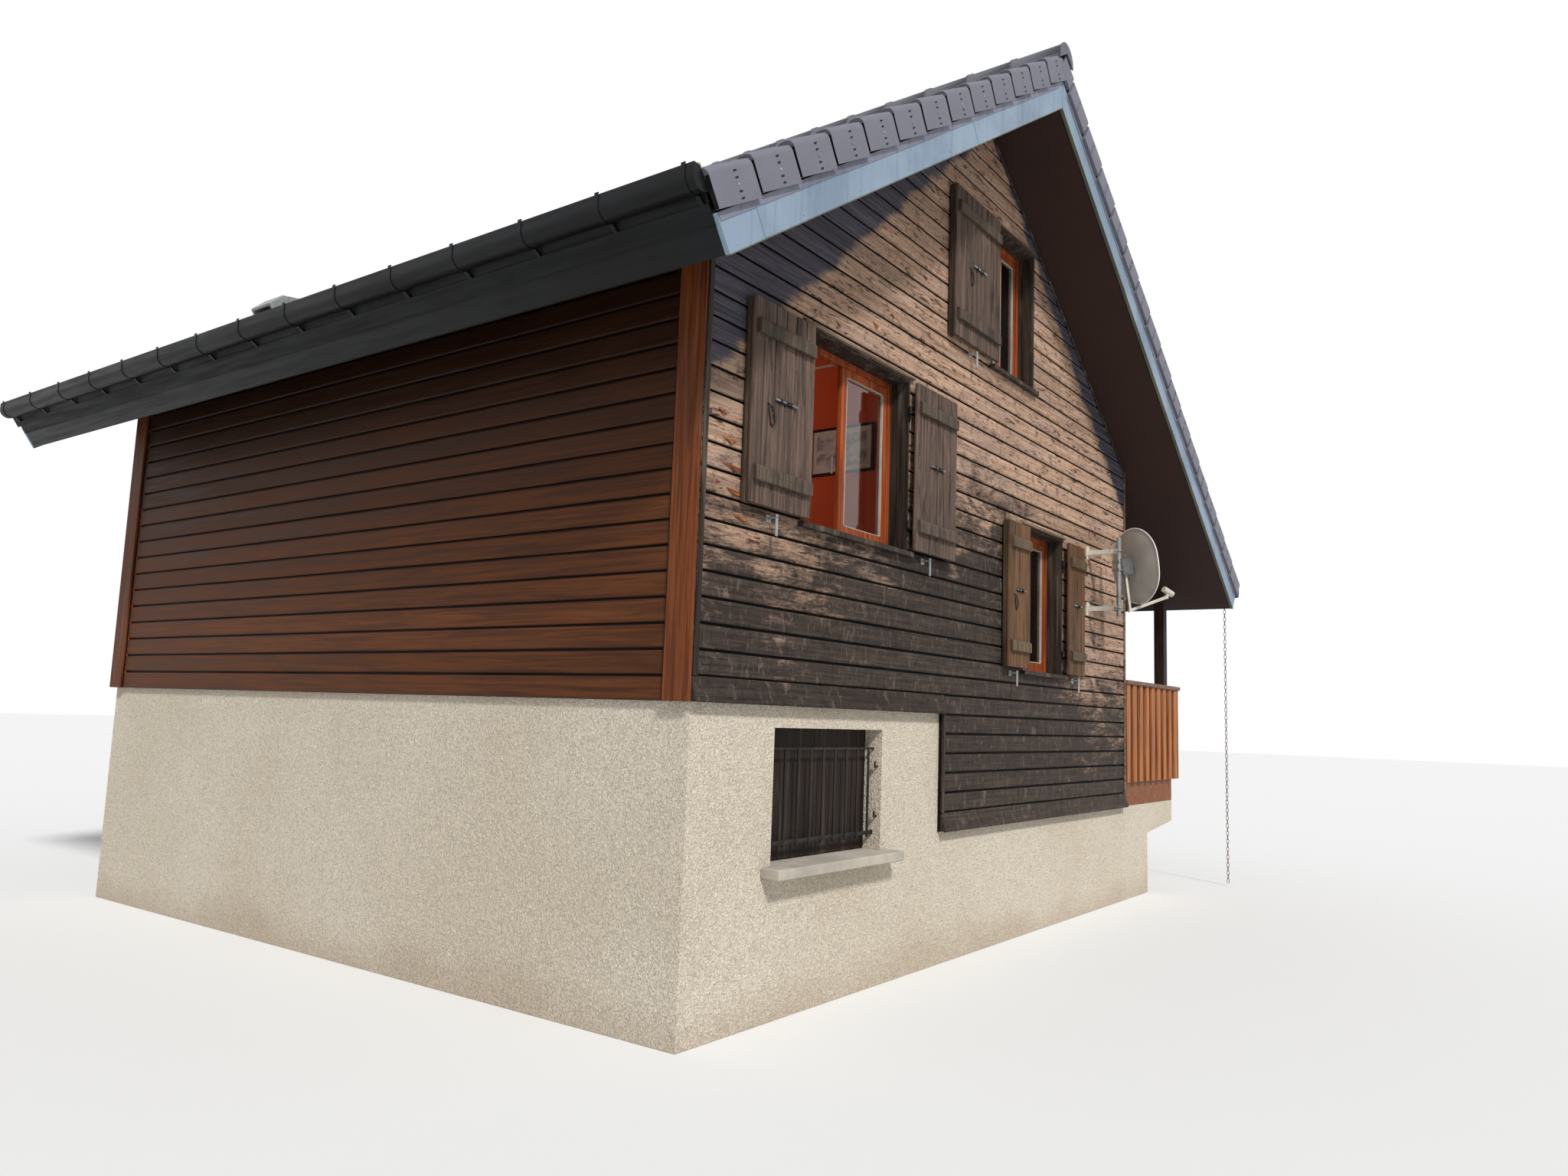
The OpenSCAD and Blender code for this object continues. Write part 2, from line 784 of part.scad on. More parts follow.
// One gutter with closed ends, and the straps that carry it on the fascia
module gutter(side) {
    foot = lip(side) - [side * gutter_w, gutter_h];
    gutter_shell(side, 0, gutter_t, -half_y, half_y, gutter_t);
    for (i = [0 : bracket_n - 1]) {
        y = -half_y + 60 + i * (2 * half_y - 120) / (bracket_n - 1);
        gutter_shell(side, -strap, gutter_t / 2, y - 12, y + 12, -1);
        across([
            on_roof(side, slope_l(side) + clear, fascia_h * 0.6), on_roof(side, slope_l(side) + clear, fascia_h),
            foot + [0, 1], foot + [side * 25, 1], foot + [side * 25, -strap],
            on_roof(side, slope_l(side) + strap, fascia_h * 0.6)],
            y - 12, y + 12);
    }
}

module gutters()
    color("DarkSlateGray")
        for (side = [-1, 1]) gutter(side);

// Rain chain from the right gutter down to the ground

chain_x = lip(1)[0] - gutter_w / 2;
chain_y = -half_y + chain_in;
chain_top = lip(1)[1] - gutter_h;
link_pitch = link_l - clear;
link_n = floor((chain_top - chain_wire) / link_pitch);

// A link's outline with cut corners
module link_outline(w, l, c)
    polygon([
        [w / 2, c - l / 2], [w / 2, l / 2 - c], [w / 2 - c, l / 2], [c - w / 2, l / 2],
        [-w / 2, l / 2 - c], [-w / 2, c - l / 2], [c - w / 2, -l / 2], [w / 2 - c, -l / 2]]);

module chain_link()
    rotate([90, 0, 0])
        linear_extrude(chain_wire, center = true)
            difference() {
                link_outline(link_w, link_l + 2 * chain_wire, link_w / 3);
                link_outline(link_w - 2 * chain_wire, link_l, (link_w - 3 * chain_wire - 1) / 2);
            }

module rain_chain()
    color("DimGray")
        for (i = [0 : link_n - 1])
            translate([chain_x, chain_y, chain_top - link_l / 2 - chain_wire - i * link_pitch])
                rotate([0, 0, i % 2 * 90])
                    chain_link();

// Windows

module window_linings() color("DarkOliveGreen") every_opening($part = "lining");

module window_frames() color("Chocolate") every_opening($part = "frame");

module window_sashes() color("Chocolate") every_window(false);

module window_glass() color("LightBlue", 0.4) every_window(true);

// Shutters

pin_h = knuckle_h + 12;
hinge_in = 160;
strap_h = 30;
strap_t = 5;
strap_l = 220;
plate_w = 24;

// One shutter hanging open to the left of its hinge, in the hinge's frame: X along the wall, Y inwards
module leaf(w) {
    h = win_h - 2 * leaf_end;
    face = pin_out - leaf_gap;
    translate([-leaf_side - w, face - leaf_t, 0]) cube([w, leaf_t, h]);
    translate([-leaf_side - w, face, 0]) cube([strip_w, leaf_t, h]);
    for (z = [batten_in, h - batten_in - batten_h])
        translate([-leaf_side - w + batten_edge, face - 2 * leaf_t, z])
            cube([w - 2 * batten_edge, leaf_t, batten_h]);
    for (z = [hinge_in, h - hinge_in - knuckle_h])
        translate([0, 0, z]) strap();
}

module strap() {
    face = pin_out - leaf_gap;
    translate([-strap_l, face, (knuckle_h - strap_h) / 2]) cube([strap_l - 5, strap_t, strap_h]);
    translate([-12, face, (knuckle_h - strap_h) / 2]) cube([7, -face - pin_r, strap_h]);
    difference() {
        cylinder(h = knuckle_h, r = pin_r + clear + knuckle_t);
        translate([0, 0, -1]) cylinder(h = knuckle_h + 2, r = pin_r + clear / 4);
    }
}

// The pin, its collar and its plate on the cladding for each strap of one shutter
module hooks()
    for (z = [hinge_in, win_h - 2 * leaf_end - hinge_in - knuckle_h])
        translate([0, 0, z]) {
            translate([0, 0, -clear - 12]) cylinder(h = pin_h + clear, r = pin_r);
            translate([0, 0, -clear - 12]) cylinder(h = 12, r = pin_r + clear + knuckle_t);
            translate([-plate_w, 0, -clear - 12]) cube([plate_w, pin_out, 12]);
            translate([-plate_w, pin_out - 5, -clear - 62]) cube([plate_w, 5, 62]);
        }

// Places a hinge at the left or right edge of an opening, and mirrors what hangs on the right one
module at_hinge(opening, right)
    at_gable(opening)
        translate([right ? opening[2] : 0, -pin_out, leaf_end])
            mirror([right ? 1 : 0, 0, 0])
                children();

function leaf_w(opening, share) = (opening[2] - 2 * leaf_side - leaf_mid) * share;
small_share = 0.5 + small_lead / small_w / 2;

module big_shutter_left() color("RosyBrown") at_hinge(big, false) leaf(leaf_w(big, 0.5));

module big_shutter_right() color("RosyBrown") at_hinge(big, true) leaf(leaf_w(big, 0.5));

module attic_shutter() color("RosyBrown") at_hinge(attic, false) leaf(leaf_w(attic, 1));

module small_shutter_left() color("RosyBrown") at_hinge(small, false) leaf(leaf_w(small, small_share));

module small_shutter_right() color("RosyBrown") at_hinge(small, true) leaf(leaf_w(small, 1 - small_share));

module shutter_hooks()
    color("Silver") {
        both_gables() {
            for (opening = [big, small], right = [false, true]) at_hinge(opening, right) hooks();
            at_hinge(attic, false) hooks();
        }
    }

module rear_shutters()
    color("RosyBrown")
        mirror([0, 1, 0]) {
            for (right = [false, true]) at_hinge(big, right) leaf(leaf_w(big, 0.5));
            at_hinge(attic, false) leaf(leaf_w(attic, 1));
            at_hinge(small, false) leaf(leaf_w(small, small_share));
            at_hinge(small, true) leaf(leaf_w(small, 1 - small_share));
        }

// Cellar window

sill_slab_t = 60;
sill_slab_ear = 90;

// The opening's lower left corner on the render
module at_cellar()
    both_gables()
        translate([left_x + cellar_x, -base_y, base_h - cellar_head - cellar_h])
            children();

module cellar_sills()
    color("DarkGray")
        at_cellar() {
            translate([-sill_slab_ear, -cellar_sill_reach, -sill_slab_t / 2])
                cube([cellar_w + 2 * sill_slab_ear, cellar_sill_reach, sill_slab_t]);
            translate([0, 0, 0]) cube([cellar_w, base_t * 0.75, sill_slab_t / 2]);
        }

grille_y = 60;
grille_rail = 45;

module cellar_grilles()
    color("DimGray")
        at_cellar() {
            for (z = [0.16, 0.84])
                translate([0, grille_y - 3, z * cellar_h]) cube([cellar_w, 6, 25]);
            for (i = [0 : grille_n - 1])
                translate([(i + 0.5) * cellar_w / grille_n, grille_y, sill_slab_t / 2])
                    cylinder(h = cellar_h - sill_slab_t / 2, r = grille_d / 2, $fn = 24);
        }

cellar_leaf_t = 30;

module cellar_shutters()
    color("SaddleBrown")
        at_cellar()
            for (i = [0, 1])
                translate([i * (cellar_w + 4) / 2, base_t * 0.5, sill_slab_t / 2 + 5])
                    cube([(cellar_w - 4) / 2, cellar_leaf_t, cellar_h - sill_slab_t / 2 - 5]);

// Balcony

rim_x = nose_x - rim_t;
rail_x = nose_x + rail_out + 2 * baluster_t;
rail_z = deck_z + rail_up;

module balcony_deck()
    color("Peru") {
        translate([right_x, -base_y + rim_t, deck_z - deck_t])
            cube([rim_x - right_x, 2 * (base_y - rim_t), deck_t]);
        for (i = [0 : 6])
            translate([right_x, -base_y + rim_t + i * (2 * (base_y - rim_t) - 80) / 6, low_z])
                cube([rim_x - right_x, 80, joist_h]);
    }

// Rim boards on the slab's edges
module balcony_rim()
    color("Sienna")
        difference() {
            translate([right_x, -base_y, low_z]) cube([nose_x - right_x, 2 * base_y, rim_h]);
            translate([right_x - 1, -base_y + rim_t, low_z - 1])
                cube([rim_x - right_x + 1, 2 * (base_y - rim_t), rim_h + 2]);
        }

post_places = [-base_y + rim_t + clear, -post_w / 2, base_y - rim_t - post_w - clear];

// Posts from the deck up to the soffit, in from the rim
module balcony_posts()
    color("Black")
        for (y = post_places)
            across([
                [rim_x - post_w - clear, deck_z], [rim_x - clear, deck_z],
                [rim_x - clear, soffit_z(rim_x)],
                [rim_x - post_w - clear, soffit_z(rim_x - post_w)]], y, y + post_w);

// A balustrade of upright boards set in turn in front of and behind one another
module baluster_panel(l) {
    n = floor((l - baluster_w) / baluster_pitch);
    pitch_l = (l - baluster_w) / n;
    foot = deck_z + 40;
    for (i = [0 : n])
        translate([i * pitch_l, 0, foot]) cube([baluster_w, baluster_t, rail_z - rail_t - foot]);
    for (i = [0 : n - 1])
        translate([i * pitch_l + baluster_w - 5, baluster_t, foot])
            cube([pitch_l - baluster_w + 10, baluster_t, rail_z - rail_t - foot]);
}

module balustrade()
    color("Peru") {
        both_gables()
            translate([right_x + corner_t + 10, -base_y - 2 * baluster_t, 0])
                baluster_panel(rail_x - right_x - corner_t - 10 - baluster_t * 2 - 2);
        translate([rail_x, -base_y - 2 * baluster_t, 0])
            rotate([0, 0, 90])
                baluster_panel(2 * base_y + 4 * baluster_t);
    }

module handrail()
    color("Sienna") {
        difference() {
            translate([right_x + corner_t, -base_y - 2 * baluster_t - 20, rail_z - rail_t])
                cube([rail_x + 20 - right_x - corner_t, 2 * base_y + 4 * baluster_t + 40, rail_t]);
            translate([right_x, -base_y - 2 * baluster_t - 20 + rail_w, rail_z - rail_t - 1])
                cube([rail_x + 20 - right_x - rail_w, 2 * base_y + 4 * baluster_t + 40 - 2 * rail_w,
                    rail_t + 2]);
            for (y = post_places)
                translate([rim_x - post_w - 2 * clear, y - clear, rail_z - rail_t - 1])
                    cube([post_w + 2 * clear, post_w + 2 * clear, rail_t + 2]);
        }
    }

// Satellite dish on its pole

dish_tilt = 8;
dish_forward = 128;
pole_top = 250;
pole_low = 459;
wall_arms = [128, -386];
bowl_r = (dish_h * dish_h / 4 + dish_deep * dish_deep) / 2 / dish_deep;

module at_pole()
    translate([left_x + dish_x, front_y - dish_out, base_h + dish_z])
        children();

// Local frame of the dish: X outwards from the pole, level
module at_dish()
    at_pole()
        rotate([0, 0, -90 + dish_turn])
            children();

// Local frame of the bowl: X along its axis, from the back of its middle
module at_bowl()
    at_dish()
        translate([dish_forward, 0, 0])
            rotate([0, -dish_tilt, 0])
                children();

module bowl_outline(w, l) {
    for (end = [-1, 1]) translate([0, end * (l - w) / 2]) circle(w / 2);
    square([w, l - w], center = true);
}

// An oval bowl cut from a thin sphere
module dish()
    color("LightGray")
        at_bowl()
            intersection() {
                translate([bowl_r, 0, 0])
                    difference() {
                        sphere(bowl_r, $fn = 96);
                        sphere(bowl_r - dish_t, $fn = 96);
                    }
                translate([-1, 0, 0])
                    rotate([0, 90, 0])
                        linear_extrude(dish_deep + 1)
                            rotate(90) bowl_outline(dish_w, dish_h);
            }

clamp_l = 118;
clamp_w = 90;
clamp_h = 150;

module clamp_block(gap)
    at_bowl()
        translate([-clamp_l - gap, -clamp_w / 2 - gap, -clamp_h / 2 - gap])
            cube([clamp_l + 10 + gap, clamp_w + 2 * gap, clamp_h + 2 * gap]);

// Pole, wall arms with their plates, and the clamp behind the bowl
module dish_mount()
    color("Silver") {
        at_pole() {
            translate([0, 0, -pole_low]) cylinder(h = pole_low + pole_top, r = pole_r);
            for (z = wall_arms) {
                translate([-20, 0, z - 20]) cube([40, dish_out, 40]);
                translate([-35, dish_out - 6, z - 60]) cube([70, 6, 120]);
            }
        }
        difference() {
            clamp_block(0);
            at_bowl() translate([bowl_r, 0, 0]) sphere(bowl_r + clear, $fn = 96);
        }
    }

arm_w = 25;
arm_top = [64, -40];
arm_elbow = [118, -402];
arm_end = [530, -252];
head_at = [548, -200];
head_r = 28;
head_l = 110;
head_turn = 66;

// A flat bar from half its width before one point to half its width past another
module bar(from, to, w) {
    way = to - from;
    translate(from)
        rotate(atan2(way[1], way[0]))
            translate([-w / 2, -w / 2]) square([norm(way) + w, w]);
}

// Arm from the clamp under the bowl out to the receiver head
module dish_arm()
    color("WhiteSmoke") {
        difference() {
            at_dish()
                rotate([90, 0, 0])
                    linear_extrude(arm_w, center = true) {
                        bar(arm_top, arm_elbow, arm_w);
                        bar(arm_elbow, arm_end, arm_w);
                        bar(arm_end, head_at, arm_w);
                    }
            clamp_block(clear);
        }
        at_dish()
            translate([head_at[0], 0, head_at[1]])
                rotate([0, -head_turn, 0])
                    cylinder(h = head_l, r = head_r, center = true);
    }

front_base_wall();
rear_base_wall();
left_base_wall();
right_base_wall();
middle_base_wall();
cellar_floor();
uphill_slab();
balcony_slab();
attic_floor();
front_wall();
rear_wall();
left_wall();
right_wall();
partition_wall();
corner_boards();
ridge_beam();
rafters();
roof_panels();
ceiling_lining();
soffits();
verge_boards();
fascias();
roof_tiles();
verge_tiles();
ridge_tiles();
roof_vent();
gutters();
rain_chain();
window_linings();
window_frames();
window_sashes();
window_glass();
shutter_hooks();
rear_shutters();
cellar_sills();
cellar_grilles();
cellar_shutters();
balcony_deck();
balcony_rim();
balcony_posts();
balustrade();
handrail();
dish();
dish_mount();
dish_arm();
big_shutter_left();
big_shutter_right();
attic_shutter();
small_shutter_left();
small_shutter_right();
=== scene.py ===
"""Looks of an alpine chalet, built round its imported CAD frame.

The frame is in metres. X runs along the gables towards the balcony, the front gable faces -Y, and Z is up
from the underside of the masonry base.
"""

from __future__ import annotations

import logging
import math
import random
from collections.abc import Callable, Sequence
from dataclasses import dataclass
from enum import Enum

import bmesh
import bpy
from mathutils import Matrix, Vector


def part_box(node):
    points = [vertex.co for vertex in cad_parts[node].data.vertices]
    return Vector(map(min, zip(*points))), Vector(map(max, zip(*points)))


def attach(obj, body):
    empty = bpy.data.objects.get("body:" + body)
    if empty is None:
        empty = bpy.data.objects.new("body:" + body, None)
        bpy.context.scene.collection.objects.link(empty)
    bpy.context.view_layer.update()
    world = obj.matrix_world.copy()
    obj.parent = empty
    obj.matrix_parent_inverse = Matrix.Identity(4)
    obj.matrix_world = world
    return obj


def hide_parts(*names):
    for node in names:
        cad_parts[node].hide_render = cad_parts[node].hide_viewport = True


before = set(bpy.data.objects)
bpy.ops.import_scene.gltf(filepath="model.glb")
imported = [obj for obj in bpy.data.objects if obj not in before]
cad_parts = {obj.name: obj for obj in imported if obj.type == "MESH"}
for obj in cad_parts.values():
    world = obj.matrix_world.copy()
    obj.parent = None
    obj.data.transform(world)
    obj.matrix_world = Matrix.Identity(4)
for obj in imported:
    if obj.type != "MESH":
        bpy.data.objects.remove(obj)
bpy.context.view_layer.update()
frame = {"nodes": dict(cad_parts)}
log = logging.getLogger("chalet")

Point = tuple[float, float]
Colour = tuple[float, float, float, float]
Socket = bpy.types.NodeSocket
Material = bpy.types.Material
Mesh = bpy.types.Mesh
Thing = bpy.types.Object
Numbers = Sequence[float]
Inputs = dict[str | int, object]
Tone = float | None
Place = Callable[[float, float, float], Vector]


class Grain(Enum):
    """The axis that the wood's grain, or a sheet's smears, run along."""

    X = 0
    Y = 1
    Z = 2


class Slope(Enum):
    """One of the two roof slopes, as the sign of its X."""

    LEFT = -1
    RIGHT = 1


class Gable(Enum):
    """One of the two gables, as the sign of its Y."""

    FRONT = -1
    REAR = 1


@dataclass(frozen=True)
class House:
    """Sizes that several pieces share."""

    ridge_x: float = 0.088
    apex_z: float = 6.3211
    pitch: float = math.radians(34)
    left_l: float = 4.716
    right_l: float = 5.976
    half_y: float = 3.755
    wall_x: float = 3.26
    wall_y: float = 3.16
    wall_t: float = 0.2
    step_x: float = -0.56
    step_z: float = 1.7
    low_z: float = 0.89
    board: float = 0.135

    @property
    def rise(self) -> float:
        """How much a slope rises to a metre."""
        return math.tan(self.pitch)

    def length(self, slope: Slope) -> float:
        """The slope's length from the ridge line to the eave's edge."""
        return self.left_l if slope is Slope.LEFT else self.right_l

    def soffit_z(self, x: float) -> float:
        """Height of the soffit plane at one place across the house."""
        return self.apex_z - abs(x - self.ridge_x) * self.rise

    def on_roof(self, slope: Slope, down: float, up: float, y: float = 0.0) -> Vector:
        """A point of a slope.

        Args:
            slope: Which slope.
            down: Distance down it from the ridge line.
            up: Distance square to the soffit plane.
            y: Place along the ridge.

        Returns:
            The point in the frame.
        """
        side = slope.value
        return Vector((self.ridge_x + side * (down * math.cos(self.pitch) + up * math.sin(self.pitch)), y,
                       self.apex_z - down * math.sin(self.pitch) + up * math.cos(self.pitch)))

    def strip(self, slope: Slope, near: float, far: float, low: float, high: float) -> list[Vector]:
        """Four corners of a strip along a slope, from its distances down the slope and over the soffit."""
        return [self.on_roof(slope, a, b) for a, b in ((near, low), (far, low), (far, high), (near, high))]

    def climb(self, slope: Slope, by: float) -> Vector:
        """The step up a slope by one distance."""
        return self.on_roof(slope, 0, 0) - self.on_roof(slope, by, 0)

    def turn(self, slope: Slope) -> tuple[float, float, float]:
        """The turn that lays a shape's X down a slope and its Z square to it."""
        return (0.0, self.pitch, 0.0 if slope is Slope.RIGHT else math.pi)


HOUSE = House()


def shade(red: int, green: int, blue: int) -> Colour:
    """Turns a colour as seen on a screen into the linear colour of a shader.

    Args:
        red: Red from 0 to 255.
        green: Green from 0 to 255.
        blue: Blue from 0 to 255.

    Returns:
        The linear colour with full opacity.
    """
    parts = [v / 255 for v in (red, green, blue)]
    linear = [v / 12.92 if v <= 0.04045 else ((v + 0.055) / 1.055) ** 2.4 for v in parts]
    return (linear[0], linear[1], linear[2], 1.0)


def dimmed(colour: Colour, share: float) -> Colour:
    """The share of a colour that is left when it is darkened."""
    return (colour[0] * share, colour[1] * share, colour[2] * share, 1.0)


def wired(tree: bpy.types.NodeTree, kind: str, inputs: Inputs | None = None,
          **settings: object) -> bpy.types.Node:
    """Adds a node to a tree, sets its properties and fills its inputs.

    Args:
        tree: The tree.
        kind: The node's type name.
        inputs: Input name or number to an output socket or a value.
        **settings: Properties of the node.

    Returns:
        The new node.
    """
    node = tree.nodes.new(kind)
    for key, value in settings.items():
        setattr(node, key, value)
    for key, value in (inputs or {}).items():
        if isinstance(value, Socket):
            tree.links.new(value, node.inputs[key])
        else:
            node.inputs[key].default_value = value
    return node


class Shader:
    """One procedural material on Object coordinates."""

    def __init__(self, name: str) -> None:
        """Starts a material with its coordinates, both shared and shifted for each board or tile.

        Args:
            name: The material's name.
        """
        self.material = bpy.data.materials.new(name)
        self.material.use_nodes = True
        self.tree = self.material.node_tree
        self.tree.nodes.clear()
        self.where = self.add("ShaderNodeTexCoord").outputs["Object"]
        self.own = self.add("ShaderNodeVectorMath", {0: self.tone(), 1: (13.0, 7.0, 11.0), 2: self.where},
                            operation="MULTIPLY_ADD").outputs[0]

    def add(self, kind: str, inputs: Inputs | None = None, **settings: object) -> bpy.types.Node:
        """Adds a node to the material, as wired does."""
        return wired(self.tree, kind, inputs, **settings)

    def tone(self) -> Socket:
        """The value that each board, tile or link carries."""
        return self.add("ShaderNodeAttribute", attribute_name="tone").outputs["Fac"]

    def place(self, axis: str) -> Socket:
        """One coordinate of the point, named X, Y or Z."""
        return self.add("ShaderNodeSeparateXYZ", {0: self.where}).outputs[axis]

    def mapped(self, scale: Numbers, offset: Numbers = (0, 0, 0), own: bool = False) -> Socket:
        """The coordinates stretched to repeats to a metre and shifted, if asked on each board by itself."""
        return self.add("ShaderNodeMapping", {"Vector": self.own if own else self.where, "Scale": scale,
                                              "Location": offset}).outputs["Vector"]

    def noise(self, scale: Numbers, detail: float = 4, rough: float = 0.5, twist: float = 0,
              offset: Numbers = (0, 0, 0), own: bool = False) -> Socket:
        """A cloud pattern.

        Args:
            scale: Repeats to a metre along X, Y and Z.
            detail: Octaves of finer clouds.
            rough: Weight of the finer clouds.
            twist: Distortion of the pattern.
            offset: A shift of the pattern.
            own: Whether each board or tile gets a pattern of its own.

        Returns:
            A value around one half.
        """
        return self.add("ShaderNodeTexNoise", {
            "Vector": self.mapped(scale, offset, own), "Scale": 1.0, "Detail": detail, "Roughness": rough,
            "Distortion": twist}).outputs["Fac"]

    def cells(self, scale: Numbers, feature: str = "F1") -> Socket:
        """The distance in a pattern of cells, by cells to a metre and Blender's name of the distance."""
        return self.add("ShaderNodeTexVoronoi", {"Vector": self.mapped(scale), "Scale": 1.0},
                        feature=feature).outputs["Distance"]

    def span(self, value: Socket, low: float, high: float, start: float = 0, end: float = 1) -> Socket:
        """Maps a value smoothly from one range to another and clamps it.

        Args:
            value: The value to map.
            low: Where the range starts.
            high: Where the range ends.
            start: Result at the start.
            end: Result at the end.

        Returns:
            The mapped value.
        """
        return self.add("ShaderNodeMapRange", {
            "Value": value, "From Min": low, "From Max": high, "To Min": start, "To Max": end},
            interpolation_type="SMOOTHSTEP").outputs["Result"]

    def sum(self, kind: str, first: object, second: object = 0.0) -> Socket:
        """One arithmetic step, by Blender's name of the operation."""
        return self.add("ShaderNodeMath", {0: first, 1: second}, operation=kind).outputs[0]

    def swing(self, value: Socket, amount: float) -> Socket:
        """How far a pattern is from one half, times an amount."""
        return self.sum("MULTIPLY", self.sum("SUBTRACT", value, 0.5), amount)

    def mix(self, share: object, first: object, second: object, kind: str = "MIX") -> Socket:
        """Mixes two colours; the share says how much of the second one shows."""
        return self.add("ShaderNodeMix", {0: share, 6: first, 7: second}, data_type="RGBA",
                        blend_type=kind).outputs[2]

    def varied(self, colour: Socket, spread: float) -> Socket:
        """Makes each board or tile a little lighter or darker.

        Args:
            colour: The colour.
            spread: The difference between the lightest and the darkest.

        Returns:
            The varied colour.
        """
        value = self.add("ShaderNodeMath", {0: self.tone(), 1: spread, 2: 1 - spread / 2},
                         operation="MULTIPLY_ADD").outputs[0]
        grey = self.add("ShaderNodeCombineColor", {0: value, 1: value, 2: value}).outputs[0]
        return self.mix(1.0, colour, grey, "MULTIPLY")

    def seams(self, axis: str, pitch: float, width: float) -> Socket:
        """Thin lines at even steps along one axis.

        Args:
            axis: X, Y or Z.
            pitch: From line to line.
            width: The line's width.

        Returns:
            1 on a line and 0 elsewhere.
        """
        part = self.sum("FLOORED_MODULO", self.sum("ADD", self.place(axis), pitch / 2), pitch)
        off = self.sum("ABSOLUTE", self.sum("SUBTRACT", part, pitch / 2))
        return self.span(off, width * 0.35, width * 0.65, 1, 0)

    def depth_in(self, axis: str, face: float, start: float, end: float) -> Socket:
        """How deep a point lies behind a wall's face on either side: 0 at the start and 1 at the end."""
        return self.span(self.sum("ABSOLUTE", self.place(axis)), face - start, face - end)

    def relief(self, height: Socket, depth: float) -> Socket:
        """The normal that a height bends, by its real depth in metres at full height."""
        return self.add("ShaderNodeBump", {"Height": height, "Distance": depth}).outputs["Normal"]

    def wear(self, colour: object, rough: object, normal: Socket | None = None, metal: float = 0.0,
             shine: float = 0.5, clear: dict[str, float] | None = None) -> Material:
        """Adds the surface with its main sockets.

        Args:
            colour: Base colour.
            rough: Roughness.
            normal: Bent normal.
            metal: Metallic share.
            shine: Specular level.
            clear: Further sockets, for glass.

        Returns:
            The finished material.
        """
        inputs = {"Base Color": colour, "Roughness": rough, "Metallic": metal, "Specular IOR Level": shine,
                  **(clear or {})}
        if normal is not None:
            inputs["Normal"] = normal
        surface = self.add("ShaderNodeBsdfPrincipled", inputs)
        self.add("ShaderNodeOutputMaterial", {"Surface": surface.outputs["BSDF"]})
        return self.material


@dataclass(frozen=True)
class Finish:
    """A finish that any piece can take, made once."""

    name: str

    def material(self) -> Material:
        """Gives the finish's material, and makes it at the first call."""
        return bpy.data.materials.get(self.name) or self.make()

    def make(self) -> Material:
        """Makes the material."""
        raise NotImplementedError


@dataclass(frozen=True)
class StainedWood(Finish):
    """Stained wood with its grain, darker streaks and worn patches, and where asked painted shade under the
    eave and in the grooves.
    """

    dark: Colour
    light: Colour
    grain: Grain = Grain.X
    grey: float = 0.0
    gloss: float = 0.55
    depth: float = 0.0012
    # painted shade: how much the wall's top is darkened, standing for the eave's shadow
    eave: float = 0.0
    # painted shade in the grooves, measured from this wall face; 0 for none
    groove_shade_face: float = 0.0
    streak: float = 0.4

    def make(self) -> Material:
        """Makes the stained wood.

        Returns:
            The material.
        """
        s = Shader(self.name)
        fine, broad = [42.0, 42.0, 42.0], [7.0, 7.0, 7.0]
        fine[self.grain.value], broad[self.grain.value] = 1.4, 0.6
        fibre = s.noise(fine, 8, 0.62, 0.5, own=True)
        ring = s.noise([v * 0.42 for v in fine], 5, 0.6, 0.8, (1.0, 2.0, 3.0), True)
        cloud = s.noise(broad, 4, 0.55, 0.3, (3.1, 1.7, 0.4), True)
        colour = s.mix(s.span(fibre, 0.34, 0.66), self.dark, self.light)
        colour = s.mix(s.span(ring, 0.52, 0.66, 0, self.streak), colour, dimmed(self.dark, 0.8))
        colour = s.varied(colour, 0.34)
        colour = s.mix(s.span(cloud, 0.56, 0.75, 0, self.streak), colour, dimmed(self.dark, 0.6))
        if self.grey > 0:
            worn = s.span(s.noise([v * 1.7 for v in broad], 6, 0.65, 0.4, own=True), 0.50, 0.68, 0, self.grey)
            colour = s.mix(worn, colour, shade(150, 138, 126))
        # painted shade: darker towards the top, standing for the eave's shadow
        if self.eave > 0:
            colour = s.mix(s.span(s.place("Z"), 2.4, 3.95, 0, self.eave), colour, dimmed(self.dark, 0.22))
        # painted shade: near black in the grooves, deeper than 5 to 12 mm behind the wall's face
        if self.groove_shade_face > 0:
            colour = s.mix(s.depth_in("X", self.groove_shade_face, 0.005, 0.012), colour, shade(16, 11, 9))
        rough = s.span(fibre, 0.3, 0.75, self.gloss - 0.08, self.gloss + 0.16)
        return s.wear(colour, rough, s.relief(s.sum("ADD", fibre, ring), self.depth), 0.0, 0.12)


